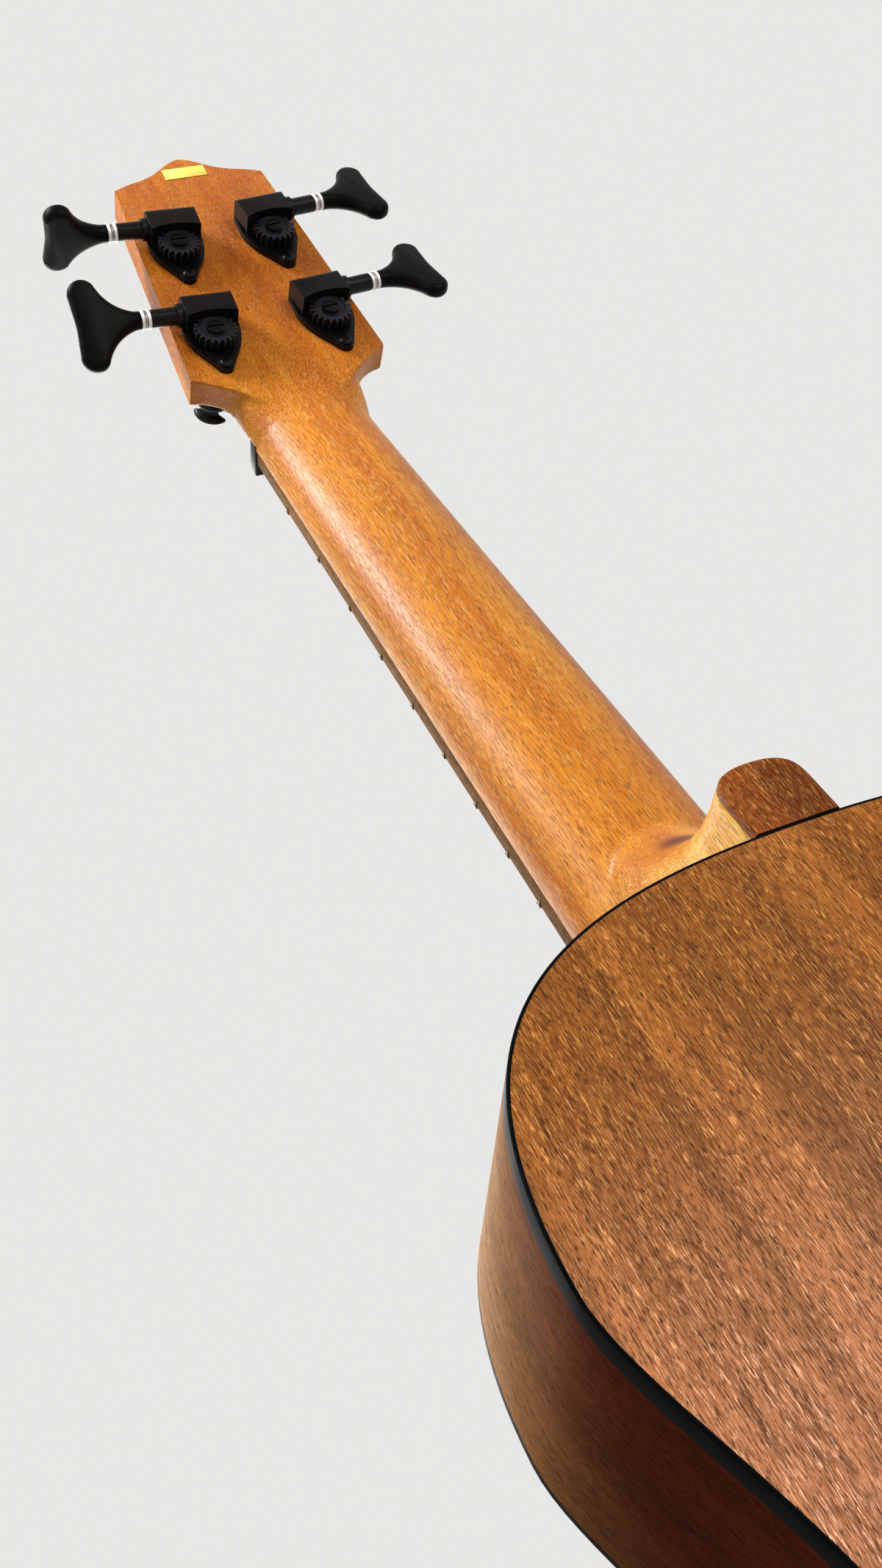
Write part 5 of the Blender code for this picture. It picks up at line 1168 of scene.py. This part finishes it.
def windingPoints(string, nut, out):
    radius, slotTurn = string["radius"], winding["slotTurn"]
    wide = postShape["radius"] + radius + winding["gap"]
    slotLevel = head["thickness"] + postShape["aboveFace"] - postShape["slotDepth"]
    slotLevel = slotLevel + winding["slotGap"] + radius
    rise = (2 * radius + winding["turnGap"]) / (2 * math.pi)
    start = math.atan2(nut[1], nut[0]) + out * math.acos(wide / math.hypot(nut[0], nut[1]))
    wound = 2 * math.pi * string["turns"]
    steps = int(round(48 * string["turns"]))
    path = [(1.0, wound * i / steps) for i in range(steps + 1)]
    path += [(share, wound + slotTurn * angle) for share, angle in winding["turnIn"]]
    points = []
    for share, angle in path:
        level = slotLevel - rise * (wound + slotTurn - angle)
        bearing = start + out * angle
        points.append(Vector((wide * share * math.cos(bearing), wide * share * math.sin(bearing), -level)))
    return points, start + out * (wound + slotTurn)


# the bead behind the bridge: distance from the hole, and share of the string's radius
beadShape = ((4.3 * mm, 1.1), (3.9 * mm, 1.45), (0.8 * mm, 1.45), (0.4 * mm, 1.1))


def makeString(index, points):
    string = strings[index]
    nut, saddle = nutPoint(index), saddlePoint(index)
    hole = Vector((saddleX - bridgeShape["behindSaddle"], saddle.y, bridgeShape["hole"]))
    mouth = hole + Vector((13 * mm, 0, 0))
    route = [hole - Vector((behind, 0, 0)) for behind, _ in beadShape]
    route += [hole, mouth, mouth.lerp(saddle, 0.1), mouth.lerp(saddle, 0.75),
              saddle - Vector((1.2 * mm, 0, -0.02 * mm)), saddle,
              nut - Vector((nutShape["middle"], 0, 0)), nut + Vector((2.2 * mm, 0, 0))]
    place = topFrame.inverted() @ tunerFrame(string)
    route += [place @ p for p in points]
    curve = bpy.data.curves.new("string", "CURVE")
    curve.dimensions = "3D"
    curve.bevel_depth = string["radius"]
    curve.bevel_resolution = 6
    curve.use_fill_caps = True
    spline = curve.splines.new("POLY")
    spline.points.add(len(route) - 1)
    for knot, point in zip(spline.points, route):
        knot.co = (*point, 1)
    for knot, (_, share) in zip(spline.points, beadShape):
        knot.radius = share
    work = bpy.data.objects.new("work", curve)
    bpy.context.scene.collection.objects.link(work)
    mesh = bpy.data.meshes.new_from_object(work.evaluated_get(bpy.context.evaluated_depsgraph_get()))
    bpy.data.objects.remove(work, do_unlink=True)
    addPiece("string_" + string["name"].upper(), smooth(mesh, 50), topFrame, materials["stringFinish"],
             "string_" + string["name"])


def tunerFrame(string):
    u, v = tunerRows[string["row"]]
    side = string["side"]
    place = headFrame @ Matrix.Translation((u, side * v, -head["thickness"]))
    return place @ Matrix.Rotation(-side * edgeAngle, 4, "Z") @ Matrix.Rotation(math.pi, 4, "X")


# meshes that the tuners share; a housing goes by its side of the head
sharedMeshes = {
    1: housingMesh(-1), -1: housingMesh(1), "key": keyMesh(), "wheel": wheelMesh(),
    "wheelScrew": wheelScrewMesh(), "bushing": bushingMesh(), "screw": mountingScrewMesh(),
    "shaft": shaftMeshes(),
}


def makeTuner(index):
    string = strings[index]
    name, side = string["name"], string["side"]
    out = -side
    place = tunerFrame(string)
    shaftPlace = (place @ Matrix.Translation((machine["offset"], 0, machine["height"]))
                  @ Matrix.Rotation(-out * math.pi / 2, 4, "X"))
    keyPlace = shaftPlace @ Matrix.Rotation(-out * math.radians(string["keyAngle"]), 4, "Z")
    nut = place.inverted() @ topFrame @ nutPoint(index)
    points, bearing = windingPoints(string, nut, out)
    key, post = "tuning_key_" + name, "post_" + name
    black = materials["blackFinish"]
    meshes = sharedMeshes
    addPiece("housing_" + name, meshes[side].copy(), place, black, "tuner_housing_" + name)
    shaft, rings, grey = meshes["shaft"]
    addPiece("wormShaft_" + name, shaft.copy(), shaftPlace, black, "worm_shaft_" + name, key)
    addPiece("rings_" + name, rings.copy(), shaftPlace, materials["ringFinish"], None, key)
    addPiece("greyBand_" + name, grey.copy(), shaftPlace, materials["steelFinish"], None, key)
    addPiece("keyButton_" + name, meshes["key"].copy(), keyPlace, materials["keyFinish"], "key_" + name, key)
    wheelPlace = place @ Matrix.Translation((0, 0, machine["height"]))
    addPiece("wormWheel_" + name, meshes["wheel"].copy(), wheelPlace, materials["wheelFinish"],
             "worm_wheel_" + name, post)
    addPiece("wheelScrew_" + name, meshes["wheelScrew"].copy(), wheelPlace, black, None, post)
    addPiece("stringPost_" + name, postMesh(bearing), place, black, "string_post_" + name, post)
    addPiece("bushing_" + name, meshes["bushing"].copy(), place, black, "post_bushing_" + name)
    addPiece("mountingScrew_" + name, meshes["screw"].copy(),
             place @ Matrix.Translation((machine["screwX"], 0, 0)), black, "tuner_screw_" + name)
    makeString(index, points)


for index in range(len(strings)):
    makeTuner(index)
print("tuners and strings done")


# End pin at the tail

endPinShape = {"reach": 11 * mm, "rim": 7.6 * mm, "neck": 5.4 * mm, "bore": 3.4 * mm, "height": 37 * mm}


def makeEndPin():
    reach, rim, neck, bore, height = endPinShape.values()
    profile = [(bore, reach - 0.3 * mm), (bore + 0.3 * mm, reach), (rim - 1.2 * mm, reach),
               (rim - 0.4 * mm, reach - 0.3 * mm), (rim, reach - 1 * mm), (rim, reach - 2.2 * mm),
               (rim - 0.5 * mm, reach - 3 * mm), (neck + 0.2 * mm, reach - 4.2 * mm), (neck, reach - 5 * mm),
               (neck, 3.6 * mm), (neck + 0.8 * mm, 2.6 * mm), (rim + 0.8 * mm, 1.6 * mm),
               (rim + 1 * mm, 1.3 * mm), (rim + 1 * mm, 0.02 * mm), (5.8 * mm, 0.02 * mm),
               (5.8 * mm, -30 * mm), (bore, -30 * mm)]
    place = rootFrame @ Matrix.Translation((-body["length"], 0, height))
    place = place @ Matrix.Rotation(-math.pi / 2, 4, "Y")
    addPiece("endPin", lathe("endPin", profile, 64), place, materials["blackFinish"], "end_pin_jack")


makeEndPin()


# Inner pieces keep their solids and get their woods

innerFinishes = {
    "lining": "spruce", "brace": "spruce", "bridge_plate": "spruce", "neck_block": "neckWood",
    "tail_block": "neckWood", "pickup_strip": "steelFinish",
}
for nodeName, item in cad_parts.items():
    for word, finish in innerFinishes.items():
        if word in nodeName:
            item.data.materials.clear()
            item.data.materials.append(materials[finish])


# Floor, light and camera

studio = {
    "background": rgb(232, 231, 229), "worldStrength": 0.35,
    # the floor glows a little to the eye alone, and fades out between two distances
    "floor": (0.62, 0.61, 0.6), "floorHalf": 3, "floorGlow": 0.3, "floorFade": (0.7, 2.6),
    # name, place, target, size and energy
    "lamps": (
        ("keyLamp", (1.1, -0.65, -0.5), (0.1, 0, 0.03), 0.45, 19),
        ("rimLamp", (1.05, -0.6, -0.25), (0.2, 0, 0.03), 0.3, 3),
        ("frontLamp", (0.05, 0.3, -0.65), (-0.05, 0, 0.03), 0.35, 3),
        ("topLamp", (0.9, -0.2, 1.2), (0, 0, 0.03), 1.2, 14),
    ),
}


def seenRays(tree):
    # 1 for the rays that show the background: straight, mirrored or through glass
    path = tree.nodes.new("ShaderNodeLightPath")
    seen = path.outputs["Is Camera Ray"]
    for name in ("Is Glossy Ray", "Is Transmission Ray"):
        total = tree.nodes.new("ShaderNodeMath")
        total.operation = "MAXIMUM"
        tree.links.new(seen, total.inputs[0])
        tree.links.new(path.outputs[name], total.inputs[1])
        seen = total.outputs[0]
    return seen


def makeFloor():
    bm = bmesh.new()
    bmesh.ops.create_grid(bm, x_segments=1, y_segments=1, size=studio["floorHalf"])
    floor = bpy.data.objects.new("floor", meshFrom("floor", bm))
    bpy.context.scene.collection.objects.link(floor)
    floor.location = (0, 0, -0.2 * mm)
    if floor.data.polygons[0].normal.z < 0:
        floor.data.flip_normals()
    shade = Shade("paleFloor")
    slow = shade.noise(shade.coordinates(), (3, 3, 3), 2.0)
    shade.set(colour=shade.mix(studio["floor"], tuple(c * 0.96 for c in studio["floor"]), slow),
              roughness=0.8)
    shade.shader.inputs["Emission Color"].default_value = (*studio["background"], 1)
    shade.tree.links.new(shade.times(seenRays(shade.tree), studio["floorGlow"]),
                         shade.shader.inputs["Emission Strength"])
    away = shade.node("ShaderNodeVectorMath", {0: shade.coordinates(), 1: (0, 0, 0)}, operation="DISTANCE")
    fade = shade.band(away.outputs["Value"], *studio["floorFade"])
    # from below, and for lamps below, the floor lets light through
    below = shade.node("ShaderNodeNewGeometry", {}).outputs["Backfacing"]
    shadow = shade.node("ShaderNodeLightPath", {}).outputs["Is Shadow Ray"]
    through = shade.node("ShaderNodeMath", {0: below, 1: shadow}, operation="MAXIMUM").outputs[0]
    through = shade.node("ShaderNodeMath", {0: through, 1: fade}, operation="MAXIMUM").outputs[0]
    clear = shade.node("ShaderNodeBsdfTransparent", {}).outputs[0]
    mixed = shade.node("ShaderNodeMixShader", {0: through, 1: shade.shader.outputs[0], 2: clear})
    output = shade.tree.nodes["Material Output"]
    shade.tree.links.new(mixed.outputs[0], output.inputs["Surface"])
    floor.data.materials.append(shade.material)


def makeWorld():
    world = bpy.data.worlds.new("studio")
    bpy.context.scene.world = world
    world.use_nodes = True
    tree = world.node_tree
    background = tree.nodes["Background"]
    background.inputs["Color"].default_value = (*studio["background"], 1)
    strength = tree.nodes.new("ShaderNodeMapRange")
    strength.inputs["To Min"].default_value = studio["worldStrength"]
    strength.inputs["To Max"].default_value = 1.0
    tree.links.new(seenRays(tree), strength.inputs["Value"])
    tree.links.new(strength.outputs[0], background.inputs["Strength"])


def addLamp(name, place, target, size, energy):
    lamp = bpy.data.lights.new(name, "AREA")
    lamp.shape = "DISK"
    lamp.size = size
    lamp.energy = energy
    item = bpy.data.objects.new(name, lamp)
    bpy.context.scene.collection.objects.link(item)
    item.location = place
    item.rotation_euler = (Vector(target) - Vector(place)).to_track_quat("-Z", "Y").to_euler()


# the photograph's camera stands below the back, on the treble side of the tail
cameraValues = {
    "right": (-0.43959, 0.89632, -0.05800), "down": (-0.64941, -0.27256, 0.70991),
    "forward": (0.62051, 0.34974, 0.70190),
    "place": (bodyEnd - 160.254 * mm, -177.349 * mm, -225.602 * mm),
    "sensor": 36, "lens": 34.858, "nearest": 0.01,
}


def makeCamera():
    right, down, forward, place = (Vector(cameraValues[key]) for key in ("right", "down", "forward", "place"))
    camera = bpy.data.cameras.new("camera")
    camera.sensor_width = cameraValues["sensor"]
    camera.lens = cameraValues["lens"]
    camera.clip_start = cameraValues["nearest"]
    item = bpy.data.objects.new("camera", camera)
    bpy.context.scene.collection.objects.link(item)
    turn = Matrix((right, -down, -forward)).transposed().to_4x4()
    item.matrix_world = Matrix.Translation(place) @ turn
    bpy.context.scene.camera = item


makeFloor()
makeWorld()
for lampValues in studio["lamps"]:
    addLamp(*lampValues)
makeCamera()
bpy.context.scene.view_settings.view_transform = "Standard"

print("studio done")
